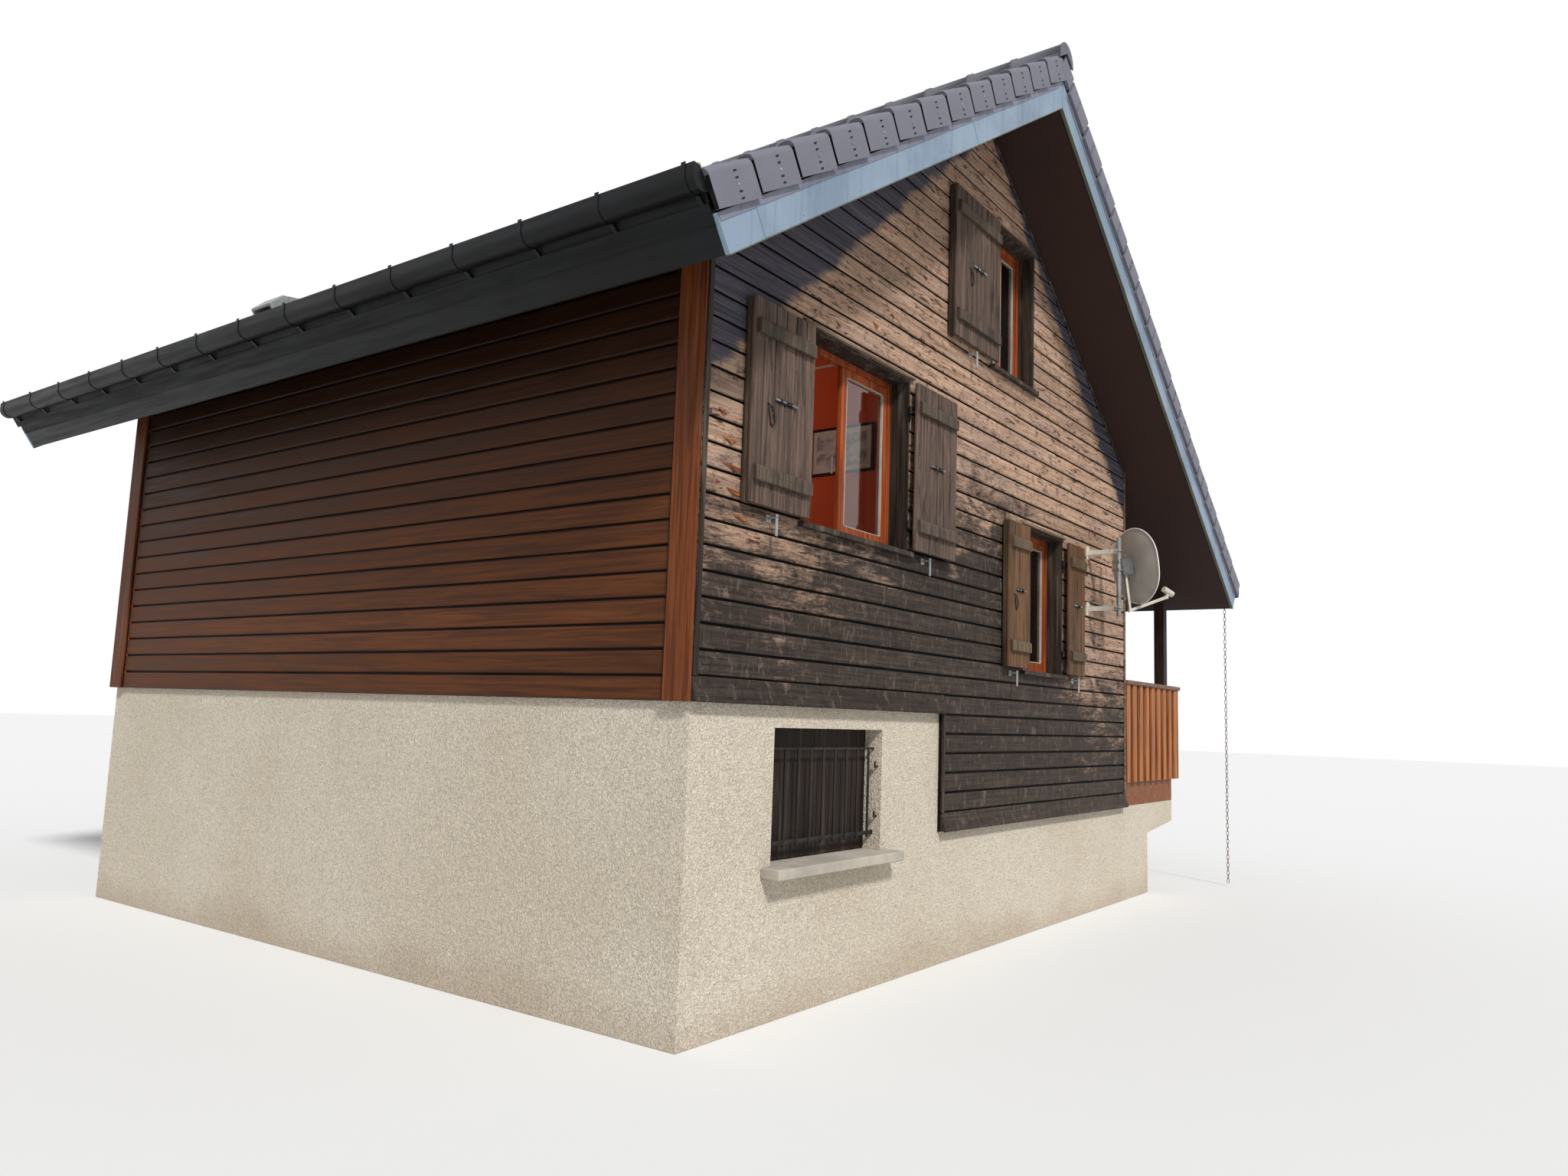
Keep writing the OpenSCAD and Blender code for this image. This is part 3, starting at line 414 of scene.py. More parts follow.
@dataclass(frozen=True)
class BleachedCladding(Finish):
    """Gable boards: old stain, painted verge shadow and sky sheen under the verge; bleached middle; blackened
    foot, partly painted shade; peeling, with painted shade at peel edges.
    """

    def bleached(self, s: Shader, fibre: Socket, fleck: Socket) -> Socket:
        """The sun-bleached wood with its dark flecks.

        Args:
            s: The shader.
            fibre: The fine grain.
            fleck: The flecks' pattern.

        Returns:
            The colour.
        """
        tan = s.mix(s.span(fibre, 0.33, 0.67), shade(142, 112, 92), shade(192, 160, 135))
        hue = s.noise((0.9, 3.0, 3.0), 4, 0.6, 0.3, (5, 1, 2), True)
        tan = s.mix(s.span(hue, 0.44, 0.68, 0, 0.5), tan, shade(140, 122, 114))
        tan = s.varied(tan, 0.30)
        blot = s.noise((17, 12, 10), 7, 0.72, 0.7, (1, 8, 3), True)
        tan = s.mix(s.span(blot, 0.53, 0.66, 0, 0.62), tan, shade(92, 74, 66))
        return s.mix(s.span(fleck, 0.545, 0.615, 0, 0.92), tan, shade(58, 44, 38))

    def blackening_and_shade(self, s: Shader, fleck: Socket) -> Socket:
        """How black the boards are below a level: damp-blackened wood, partly painted shade of trees.

        Args:
            s: The shader.
            fleck: The flecks' pattern.

        Returns:
            0 on bleached wood and nearly 1 on black wood.
        """
        x = s.place("X")
        level = s.sum("SUBTRACT", s.span(x, -2.7, 0.0, 2.62, 3.25), s.span(x, 0.5, 2.3, 0.0, 1.35))
        patch = s.swing(s.noise((1.6, 4.2, 4.2), 8, 0.68, 0.9), 3.4)
        streak = s.swing(fleck, 2.4)
        above = s.sum("ADD", s.sum("SUBTRACT", s.place("Z"), level), s.sum("ADD", patch, streak))
        return s.span(above, 0.42, -0.40, 0.0, 0.95)

    def shaded(self, s: Shader) -> Socket:
        """How much the boards under the verge are darkened: old stain kept there, in the shape of a painted
        shadow of the verge.

        Args:
            s: The shader.

        Returns:
            1 where the kept stain and the painted verge shadow show.
        """
        reach = s.sum("ABSOLUTE", s.sum("SUBTRACT", s.place("X"), HOUSE.ridge_x))
        soffit = s.sum("SUBTRACT", HOUSE.apex_z, s.sum("MULTIPLY", reach, HOUSE.rise))
        below = s.sum("SUBTRACT", soffit, s.place("Z"))
        width = s.sum("MULTIPLY", reach, s.span(s.place("X"), -0.1, 0.3, 0.20, 0.13))
        cloud = s.swing(s.noise((2, 6, 6), 6, 0.6), 0.34)
        return s.span(s.sum("ADD", s.sum("SUBTRACT", below, width), cloud), 0.07, -0.03, 0.0, 0.96)

    def make(self) -> Material:
        """Makes the weathered cladding.

        Returns:
            The material.
        """
        s = Shader(self.name)
        fibre = s.noise((1.6, 62, 62), 8, 0.66, 0.6, own=True)
        fleck = s.noise((7, 44, 44), 8, 0.68, 1.0, (4.0, 0, 0.2), True)
        colour = self.bleached(s, fibre, fleck)
        peel = s.noise((6, 21, 24), 7, 0.62, 1.6, (2, 3, 1), True)
        lost = s.sum("MULTIPLY", s.span(peel, 0.662, 0.674), s.span(s.place("Z"), 2.3, 2.9))
        colour = s.mix(s.sum("MULTIPLY", lost, 0.85), colour, shade(150, 72, 42))
        # painted shade: a dark rim round each peeled patch, under its lifted edge
        colour = s.mix(s.sum("MULTIPLY", s.span(peel, 0.644, 0.660), s.span(peel, 0.674, 0.660)), colour,
                       shade(70, 44, 34))
        black = s.varied(s.mix(s.span(fibre, 0.35, 0.7), shade(26, 23, 22), shade(62, 55, 51)), 0.3)
        mottle = s.noise((20, 9, 8), 9, 0.76, 0.9, (7, 2, 5), True)
        black = s.mix(s.span(mottle, 0.47, 0.35, 0, 0.8), black, shade(18, 16, 16))
        black = s.mix(s.span(mottle, 0.54, 0.66, 0, 0.7), black, shade(116, 101, 91))
        # blackened lower boards: damp-darkened wood and, in part, painted tree shade
        blackening_and_shade = self.blackening_and_shade(s, fleck)
        colour = s.mix(blackening_and_shade, colour, black)
        # old dark stain kept under the verge, made bluish by a painted sky sheen
        stain = s.varied(s.mix(s.span(fibre, 0.3, 0.7), shade(42, 42, 50), shade(88, 88, 101)), 0.3)
        # the mask's edge follows the verge's shadow, so this also paints that shadow
        colour = s.mix(self.shaded(s), colour, stain)
        # painted shade: near black in the grooves, deeper than 4 to 10 mm behind the wall's face
        colour = s.mix(s.depth_in("Y", HOUSE.wall_y, 0.004, 0.010), colour, shade(15, 12, 11))
        rough = s.span(fibre, 0.3, 0.7, 0.52, 0.82)
        crack = s.sum("ADD", fibre, s.sum("MULTIPLY", fleck, 0.9))
        crack = s.sum("SUBTRACT", crack, s.sum("MULTIPLY", lost, 0.6))
        return s.wear(colour, rough, s.relief(crack, 0.0030), 0.0, 0.1)


@dataclass(frozen=True)
class WeatheredLeaf(Finish):
    """Shutter boards: tan where the sun falls, greyed and smeared with black."""

    dark: Colour
    light: Colour
    smear: float = 0.8

    def make(self) -> Material:
        """Makes the shutter wood.

        Returns:
            The material.
        """
        s = Shader(self.name)
        fibre = s.noise((60, 60, 1.5), 8, 0.65, 0.5, own=True)
        smear = s.noise((11, 11, 1.6), 7, 0.7, 0.8, (2, 1, 0), True)
        colour = s.mix(s.span(fibre, 0.32, 0.68), self.dark, self.light)
        colour = s.varied(colour, 0.3)
        colour = s.mix(s.span(smear, 0.48, 0.66, 0, self.smear), colour, shade(36, 30, 28))
        pale = s.span(s.noise((9, 9, 2), 6, 0.7, 0.5, (0, 5, 2), True), 0.56, 0.72, 0, 0.4)
        colour = s.mix(pale, colour, dimmed(self.light, 1.25))
        rough = s.span(fibre, 0.3, 0.7, 0.5, 0.78)
        return s.wear(colour, rough, s.relief(fibre, 0.0016), 0.0, 0.14)


@dataclass(frozen=True)
class Roughcast(Finish):
    """Thrown lime render: cream, finely pitted with painted shade in its pits, with faint clouds and a little
    splash at its foot.
    """

    def make(self) -> Material:
        """Makes the render.

        Returns:
            The material.
        """
        s = Shader(self.name)
        grit = s.noise((64, 64, 64), 3, 0.55, 1.4)
        dots = s.cells((88, 88, 88), "SMOOTH_F1")
        cloud = s.noise((0.9, 0.9, 0.9), 4, 0.5)
        colour = s.mix(s.span(cloud, 0.35, 0.65), shade(226, 213, 192), shade(234, 222, 203))
        # painted shade: darker where the grit's relief is low, in the pits
        colour = s.mix(s.span(grit, 0.50, 0.38, 0, 0.55), colour, shade(172, 161, 144))
        low = s.sum("ADD", s.place("Z"), s.swing(cloud, 0.5))
        colour = s.mix(s.span(low, 0.30, 0.0, 0, 0.3), colour, shade(166, 138, 114))
        height = s.sum("ADD", s.sum("MULTIPLY", dots, 0.5), s.sum("MULTIPLY", grit, 1.6))
        return s.wear(colour, 0.93, s.relief(height, 0.014), 0.0, 0.2)


@dataclass(frozen=True)
class Concrete(Finish):
    """Bare concrete with pores and grey clouds."""

    light: Colour

    def make(self) -> Material:
        """Makes the concrete.

        Returns:
            The material.
        """
        s = Shader(self.name)
        cloud = s.noise((3, 3, 3), 7, 0.6)
        sand = s.noise((160, 160, 160), 4, 0.6)
        pores = s.span(s.cells((55, 55, 55)), 0.12, 0.2)
        colour = s.mix(s.span(cloud, 0.35, 0.65), dimmed(self.light, 0.74), self.light)
        colour = s.mix(s.span(sand, 0.4, 0.3, 0, 0.4), colour, shade(92, 88, 80))
        height = s.sum("ADD", s.sum("MULTIPLY", pores, 0.8), sand)
        return s.wear(colour, 0.88, s.relief(height, 0.0025))


@dataclass(frozen=True)
class TileFinish(Finish):
    """Weathered slate-grey concrete tile with faint lichen."""

    light: Colour
    contrast: float = 0.34
    lichen: float = 0.5

    def make(self) -> Material:
        """Makes the tile surface.

        Returns:
            The material.
        """
        s = Shader(self.name)
        cloud = s.noise((7, 7, 7), 6, 0.6, own=True)
        sand = s.noise((240, 240, 240), 3, 0.6)
        colour = s.mix(s.span(cloud, 0.35, 0.68), dimmed(self.light, 1 - self.contrast), self.light)
        colour = s.varied(colour, self.contrast * 0.7)
        spots = s.span(s.noise((34, 34, 34), 5, 0.7), 0.66, 0.72, 0, self.lichen)
        colour = s.mix(spots, colour, shade(150, 148, 130))
        return s.wear(colour, s.span(cloud, 0.3, 0.7, 0.62, 0.86), s.relief(sand, 0.0009))


@dataclass(frozen=True)
class SheetMetal(Finish):
    """Coated or galvanised sheet with smears and dust, and rust where asked."""

    light: Colour
    dark: Colour
    metal: float = 0.0
    gloss: float = 0.4
    rust: float = 0.0
    smear: Grain = Grain.Z
    dirt: float = 0.4
    rust_top: float = 0.0
    shine: float = 0.5

    def make(self) -> Material:
        """Makes the sheet.

        Returns:
            The material.
        """
        s = Shader(self.name)
        run = [26.0, 26.0, 26.0]
        run[self.smear.value] = 1.6
        smear = s.noise(run, 5, 0.6, 0.2)
        cloud = s.noise((1.8, 1.8, 1.8), 5, 0.55)
        colour = s.mix(s.span(cloud, 0.38, 0.62), self.dark, self.light)
        colour = s.mix(s.span(smear, 0.56, 0.72, 0, self.dirt), colour, dimmed(self.dark, 0.66))
        if self.rust > 0:
            spots = s.span(s.noise((44, 44, 44), 7, 0.7), 0.62 - self.rust * 0.22, 0.74 - self.rust * 0.2)
            if self.rust_top > 0:
                spots = s.sum("MULTIPLY", spots, s.span(s.place("Z"), self.rust_top, self.rust_top * 0.55))
            colour = s.mix(spots, colour, shade(116, 60, 34))
        rough = s.span(smear, 0.3, 0.7, self.gloss, self.gloss + 0.2)
        return s.wear(colour, rough, s.relief(s.noise((60, 60, 60), 3), 0.0003), self.metal, self.shine)


@dataclass(frozen=True)
class PaintedBoards(Finish):
    """Smooth paint on boards, with fine seams at even steps."""

    light: Colour
    axis: str
    pitch: float
    seam: float = 0.004
    gloss: float = 0.5
    spread: float = 0.16

    def make(self) -> Material:
        """Makes the painted boards.

        Returns:
            The material.
        """
        s = Shader(self.name)
        cloud = s.noise((2.2, 2.2, 2.2), 5, 0.55)
        brush = s.noise((3, 60, 60), 4, 0.6)
        line = s.seams(self.axis, self.pitch, self.seam)
        colour = s.mix(s.span(cloud, 0.35, 0.65), dimmed(self.light, 1 - self.spread), self.light)
        colour = s.mix(s.span(brush, 0.5, 0.7, 0, self.spread), colour, dimmed(self.light, 0.6))
        colour = s.mix(s.sum("MULTIPLY", line, 0.8), colour, dimmed(self.light, 0.25))
        height = s.sum("SUBTRACT", s.sum("MULTIPLY", brush, 0.2), line)
        return s.wear(colour, s.span(cloud, 0.3, 0.7, self.gloss, self.gloss + 0.2), s.relief(height, 0.002),
                      0.0, 0.25)


@dataclass(frozen=True)
class Pane(Finish):
    """Clear window glass."""

    def make(self) -> Material:
        """Makes the glass.

        Returns:
            The material.
        """
        s = Shader(self.name)
        film = s.noise((3, 3, 3), 4, 0.5)
        return s.wear(shade(232, 240, 240), s.span(film, 0.4, 0.7, 0.0, 0.06),
                      clear={"Transmission Weight": 1.0, "IOR": 1.45})


@dataclass(frozen=True)
class Print(Finish):
    """The bare grey sheet in the room's frame."""

    def make(self) -> Material:
        """Makes the sheet.

        Returns:
            The material.
        """
        s = Shader(self.name)
        cloud = s.noise((9, 9, 14), 6, 0.65)
        return s.wear(s.mix(s.span(cloud, 0.4, 0.6), shade(112, 112, 116), shade(164, 162, 158)), 0.35)


@dataclass(frozen=True)
class Plain(Finish):
    """A flat colour for the stage's floor."""

    colour: Colour = (0.82, 0.82, 0.81, 1.0)

    def make(self) -> Material:
        """Makes the stage surface."""
        return Shader(self.name).wear(self.colour, 0.95)


CLADDING = BleachedCladding("gable_boards")
# painted shade: the eave wall's top is darkened as the eave's shadow, and its grooves as shade
EAVE_WALL = StainedWood("eave_wall_boards", shade(66, 35, 17), shade(97, 56, 29), Grain.Y, gloss=0.5,
                        depth=0.0009, eave=0.9, groove_shade_face=HOUSE.wall_x, streak=0.16)
CORNER = StainedWood("corner_board_wood", shade(76, 38, 18), shade(118, 64, 34), Grain.Z, 0.1, 0.5,
                     streak=0.25)
TRIM = StainedWood("weathered_trim", shade(70, 58, 50), shade(134, 114, 98), Grain.X, 0.45, 0.65)
FLAKE = StainedWood("flake_stain", shade(112, 58, 34), shade(172, 104, 64), Grain.X, gloss=0.6)
SHUTTER = WeatheredLeaf("shutter_boards", shade(56, 45, 40), shade(114, 94, 82))
BATTEN = WeatheredLeaf("shutter_battens", shade(54, 46, 40), shade(102, 88, 76), 0.6)
EDGE_STRIP = WeatheredLeaf("shutter_edge_strip", shade(40, 33, 26), shade(92, 79, 61), 0.7)
SMALL_SHUTTER = WeatheredLeaf("small_shutter_boards", shade(62, 43, 30), shade(120, 88, 62), 0.65)
SMALL_BATTEN = WeatheredLeaf("small_shutter_battens", shade(62, 51, 37), shade(108, 93, 72), 0.55)
WINDOW = StainedWood("window_stain", shade(104, 46, 22), shade(160, 80, 43), Grain.Z, gloss=0.4, depth=0.0006)
REVEAL = StainedWood("reveal_wood", shade(34, 28, 25), shade(70, 59, 51), Grain.Z, 0.25)
BALUSTER = StainedWood("baluster_wood", shade(122, 72, 38), shade(182, 118, 72), Grain.Z, 0.12, 0.5)
# painted shade: a darker copy of the baluster wood for the back layer, which stands in shade
BALUSTER_IN_SHADE = StainedWood("inner_baluster_wood", shade(78, 34, 15), shade(116, 56, 27), Grain.Z, 0.05, 0.5)
DARK_WOOD = StainedWood("post_wood", shade(34, 26, 22), shade(66, 52, 44), Grain.Z, 0.12, 0.6)
CELLAR_WOOD = StainedWood("cellar_shutter_wood", shade(27, 21, 19), shade(54, 43, 38), Grain.Z, 0.12, 0.6)
RAIL_WOOD = StainedWood("rail_wood", shade(80, 58, 50), shade(130, 102, 90), Grain.Y, 0.35)
RIM_WOOD = StainedWood("rim_wood", shade(92, 50, 26), shade(140, 86, 50), Grain.Y, 0.15, 0.5)
RAW_WOOD = StainedWood("rafter_wood", shade(88, 58, 36), shade(142, 102, 68), Grain.X, gloss=0.65)
DECK_WOOD = StainedWood("deck_wood", shade(90, 64, 44), shade(146, 112, 84), Grain.Y, 0.3, 0.65)
SOFFIT = PaintedBoards("soffit_panels", shade(54, 36, 30), "Y", 0.62, seam=0.005, gloss=0.55)
PANEL = PaintedBoards("roof_panel_boards", shade(58, 47, 38), "Y", 0.25, gloss=0.7)
INTERIOR = PaintedBoards("interior_boards", shade(170, 74, 46), "Z", 3.0, spread=0.08)
CEILING = PaintedBoards("ceiling_boards", shade(160, 84, 56), "Y", 0.1)
RENDER = Roughcast("lime_render")
SILL = Concrete("sill_concrete", shade(186, 177, 163))
CONCRETE = Concrete("slab_concrete", shade(150, 146, 136))
TILE = TileFinish("roof_tile", shade(98, 98, 104))
FLANGE = TileFinish("verge_tile", shade(110, 110, 121), 0.14, 0.15)
RIDGE = TileFinish("ridge_tile", shade(102, 102, 112), 0.24, 0.3)
VERGE = SheetMetal("verge_sheet", shade(128, 146, 164), shade(110, 128, 147), dirt=0.35)
FOLD = SheetMetal("verge_fold", shade(114, 117, 132), shade(96, 99, 114), gloss=0.45)
VERGE_EDGE = SheetMetal("verge_edge", shade(104, 106, 84), shade(78, 82, 66), gloss=0.5)
GUTTER = SheetMetal("gutter_sheet", shade(14, 16, 19), shade(8, 9, 11), gloss=0.34, smear=Grain.Y, dirt=0.25,
                    shine=0.2)
APRON = SheetMetal("eave_apron", shade(15, 17, 19), shade(8, 9, 11), gloss=0.5, smear=Grain.Y, dirt=0.2,
                   shine=0.2)
CREAM = SheetMetal("gutter_end", shade(206, 194, 168), shade(180, 168, 142), gloss=0.5)
ZINC = SheetMetal("galvanised", shade(170, 172, 171), shade(120, 123, 124), 0.4, 0.45, 0.15)
PAINTED_ARM = SheetMetal("arm_paint", shade(218, 213, 199), shade(190, 185, 171), gloss=0.5, rust=0.2)
OLD_ZINC = SheetMetal("old_galvanised", shade(122, 123, 122), shade(78, 80, 82), 0.3, 0.5, 0.2)
DISH_SKIN = SheetMetal("dish_paint", shade(190, 187, 181), shade(166, 163, 157), gloss=0.42, dirt=0.15)
DISH_RIM = SheetMetal("dish_rim", shade(238, 238, 234), shade(222, 222, 218), dirt=0.15)
IRON = SheetMetal("black_iron", shade(40, 37, 36), shade(22, 21, 21), 0.2, 0.5, 0.12, shine=0.3)
CHAIN_IRON = SheetMetal("chain_iron", shade(142, 136, 128), shade(104, 98, 92), 0.5, 0.5, 0.9, rust_top=2.4)
GLASS = Pane("window_glass_clear")
PRINT = Print("room_print")
# painted shade: a near-black sheet for hollows, slots and joints where only shade shows
GAP_SHADE = SheetMetal("dark_gap", shade(18, 16, 16), shade(11, 10, 10), gloss=0.7, shine=0.2)


def placed(name: str, data: bpy.types.ID) -> Thing:
    """Puts a mesh, a lamp or a camera into the scene.

    Args:
        name: The object's name.
        data: The mesh, lamp or camera.

    Returns:
        The object.
    """
    thing = bpy.data.objects.new(name, data)
    bpy.context.scene.collection.objects.link(thing)
    return thing


def settled(thing: Thing) -> Mesh:
    """A new plain mesh of what an object's modifiers make."""
    bpy.context.view_layer.update()
    return bpy.data.meshes.new_from_object(thing.evaluated_get(bpy.context.evaluated_depsgraph_get()))


def softened(thing: Thing, bevel: float, smooth: float) -> Thing:
    """Rounds an object's edges and shades its soft ones smooth.

    Args:
        thing: The object.
        bevel: Width of a rounded edge, or 0 for none.
        smooth: Largest angle in degrees that is shaded smooth, or 0 for none.

    Returns:
        The object.
    """
    if bevel > 0:
        edge = thing.modifiers.new("edge", "BEVEL")
        edge.width, edge.segments, edge.limit_method, edge.angle_limit = bevel, 1, "ANGLE", math.radians(40)
        edge.use_clamp_overlap = True
        thing.data = settled(thing)
        thing.modifiers.clear()
    if smooth > 0:
        thing.data.polygons.foreach_set("use_smooth", [True] * len(thing.data.polygons))
        thing.data.set_sharp_from_angle(angle=math.radians(smooth))
    return thing


def carried(thing: Thing, slot: str, *nodes: str, body: str = "house") -> Thing:
    """Fixes a finished piece to its body.

    Args:
        thing: The piece.
        slot: The record's material slot; not used.
        *nodes: CAD nodes that it stands for.
        body: The CAD body that carries it.

    Returns:
        The piece.
    """
    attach(thing, body)
    if nodes:
        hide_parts(*nodes)
    log.info("%s: %d faces on %s", thing.name, len(thing.data.polygons), body)
    return thing


def circle(steps: int) -> list[Point]:
    """Cosine and sine of even steps round a circle."""
    return [(math.cos(2 * math.pi * k / steps), math.sin(2 * math.pi * k / steps)) for k in range(steps)]


def square(low: Numbers, high: Numbers) -> list[Point]:
    """The corners of a box as seen along its third axis."""
    return [(low[0], low[1]), (high[0], low[1]), (high[0], high[1]), (low[0], high[1])]


class Works:
    """Collects closed shapes into one mesh, with a tone for each of them."""

    def __init__(self, name: str, *finishes: Finish, bevel: float = 0.0, smooth: float = 0.0) -> None:
        """Starts an empty mesh.

        Args:
            name: The piece's name.
            *finishes: The finishes that faces choose from by number.
            bevel: Width of a rounded edge, or 0 for none.
            smooth: Largest angle in degrees that is shaded smooth, or 0 for none.
        """
        self.name, self.finishes, self.bevel, self.smooth = name, finishes, bevel, smooth
        self.points: list[Vector] = []
        self.faces: list[tuple[int, ...]] = []
        self.slots: list[int] = []
        self.tones: list[float] = []
        self.chance = random.Random(name)

    def loft(self, rings: Sequence[Sequence[Vector]], slot: int = 0, tone: Tone = None,
             closed: bool = False) -> None:
        """Joins rings of equally many points into one closed shape.

        Args:
            rings: The rings, in order.
            slot: Which finish its faces take.
            tone: Its tone, or None for a random one.
            closed: Whether the last ring joins the first, as in a hoop.
        """
        start, count = len(self.points), len(rings[0])
        self.points.extend(p for ring in rings for p in ring)
        made = []
        for i in range(len(rings) if closed else len(rings) - 1):
            a, b = start + i * count, start + (i + 1) % len(rings) * count
            made += [(a + j, a + (j + 1) % count, b + (j + 1) % count, b + j) for j in range(count)]
        if not closed:
            made.append(tuple(range(start + count - 1, start - 1, -1)))
            made.append(tuple(start + (len(rings) - 1) * count + j for j in range(count)))
        self.faces += made
        self.slots += [slot] * len(made)
        self.tones += [self.chance.random() if tone is None else tone] * len(made)

    def bar(self, outline: Sequence[Point], place: Place, ends: Numbers, slot: int = 0,
            tone: Tone = None) -> None:
        """Draws an outline out between two distances, where place gives the points in the frame."""
        self.loft([[place(a, b, at) for a, b in outline] for at in ends], slot, tone)

    def sheet(self, outline: Sequence[Vector], ends: Numbers, slot: int = 0, tone: Tone = None) -> None:
        """Draws points of the frame out between two places along Y."""
        self.loft([[Vector((p.x, y, p.z)) for p in outline] for y in sorted(ends)], slot, tone)

    def block(self, low: Numbers, high: Numbers, slot: int = 0, tone: Tone = None) -> None:
        """A box between its lowest and its highest corner."""
        self.bar(square(low, high), lambda a, b, at: Vector((a, b, at)), (low[2], high[2]), slot, tone)

    def plate(self, gable: Gable, low: Numbers, high: Numbers, slot: int = 0, tone: Tone = None) -> None:
        """A box on a gable's wall, between corners whose second number counts out from the wall's face."""
        near, far = sorted(gable.value * (HOUSE.wall_y + out) for out in (low[1], high[1]))
        self.block((low[0], near, low[2]), (high[0], far, high[2]), slot, tone)

    def rod(self, start: Numbers, end: Numbers, radius: float, sides: int = 12, slot: int = 0,
            tone: Tone = None) -> None:
        """A round bar between two points."""
        self.tube([Vector(start), Vector(end)], radius, sides, slot, tone)

    def tube(self, path: Sequence[Vector], radius: float, sides: int = 10, slot: int = 0,
             tone: Tone = None, closed: bool = False) -> None:
        """A round bar along a path.

        Args:
            path: Centres along the bar.
            radius: Its radius.
            sides: Faces round it.
            slot: Which finish its faces take.
            tone: Its tone.
            closed: Whether the path is a loop.
        """
        rings = []
        up = None
        for i, point in enumerate(path):
            ahead = path[(i + 1) % len(path)] if closed or i < len(path) - 1 else point
            behind = path[i - 1] if closed or i > 0 else point
            way = (ahead - behind).normalized()
            if up is None:
                up = way.orthogonal().normalized()
            up = (up - way * up.dot(way)).normalized()
            across = way.cross(up)
            rings.append([point + (up * c + across * s) * radius for c, s in circle(sides)])
        self.loft(rings, slot, tone, closed)

    def piece(self) -> Thing:
        """Turns what was collected into an object at the origin.

        Returns:
            The object, linked to the scene.
        """
        mesh = bpy.data.meshes.new(self.name)
        mesh.from_pydata([tuple(p) for p in self.points], [], self.faces)
        mesh.attributes.new("tone", "FLOAT", "FACE").data.foreach_set("value", self.tones)
        mesh.polygons.foreach_set("material_index", self.slots)
        for finish in self.finishes:
            mesh.materials.append(finish.material())
        whole = bmesh.new()
        whole.from_mesh(mesh)
        bmesh.ops.dissolve_degenerate(whole, dist=1e-6, edges=whole.edges)
        bmesh.ops.recalc_face_normals(whole, faces=whole.faces)
        whole.to_mesh(mesh)
        whole.free()
        return softened(placed(self.name, mesh), self.bevel, self.smooth)

    def carry(self, slot: str, *nodes: str, body: str = "house") -> None:
        """Makes the piece and fixes it to its body."""
        carried(self.piece(), slot, *nodes, body=body)


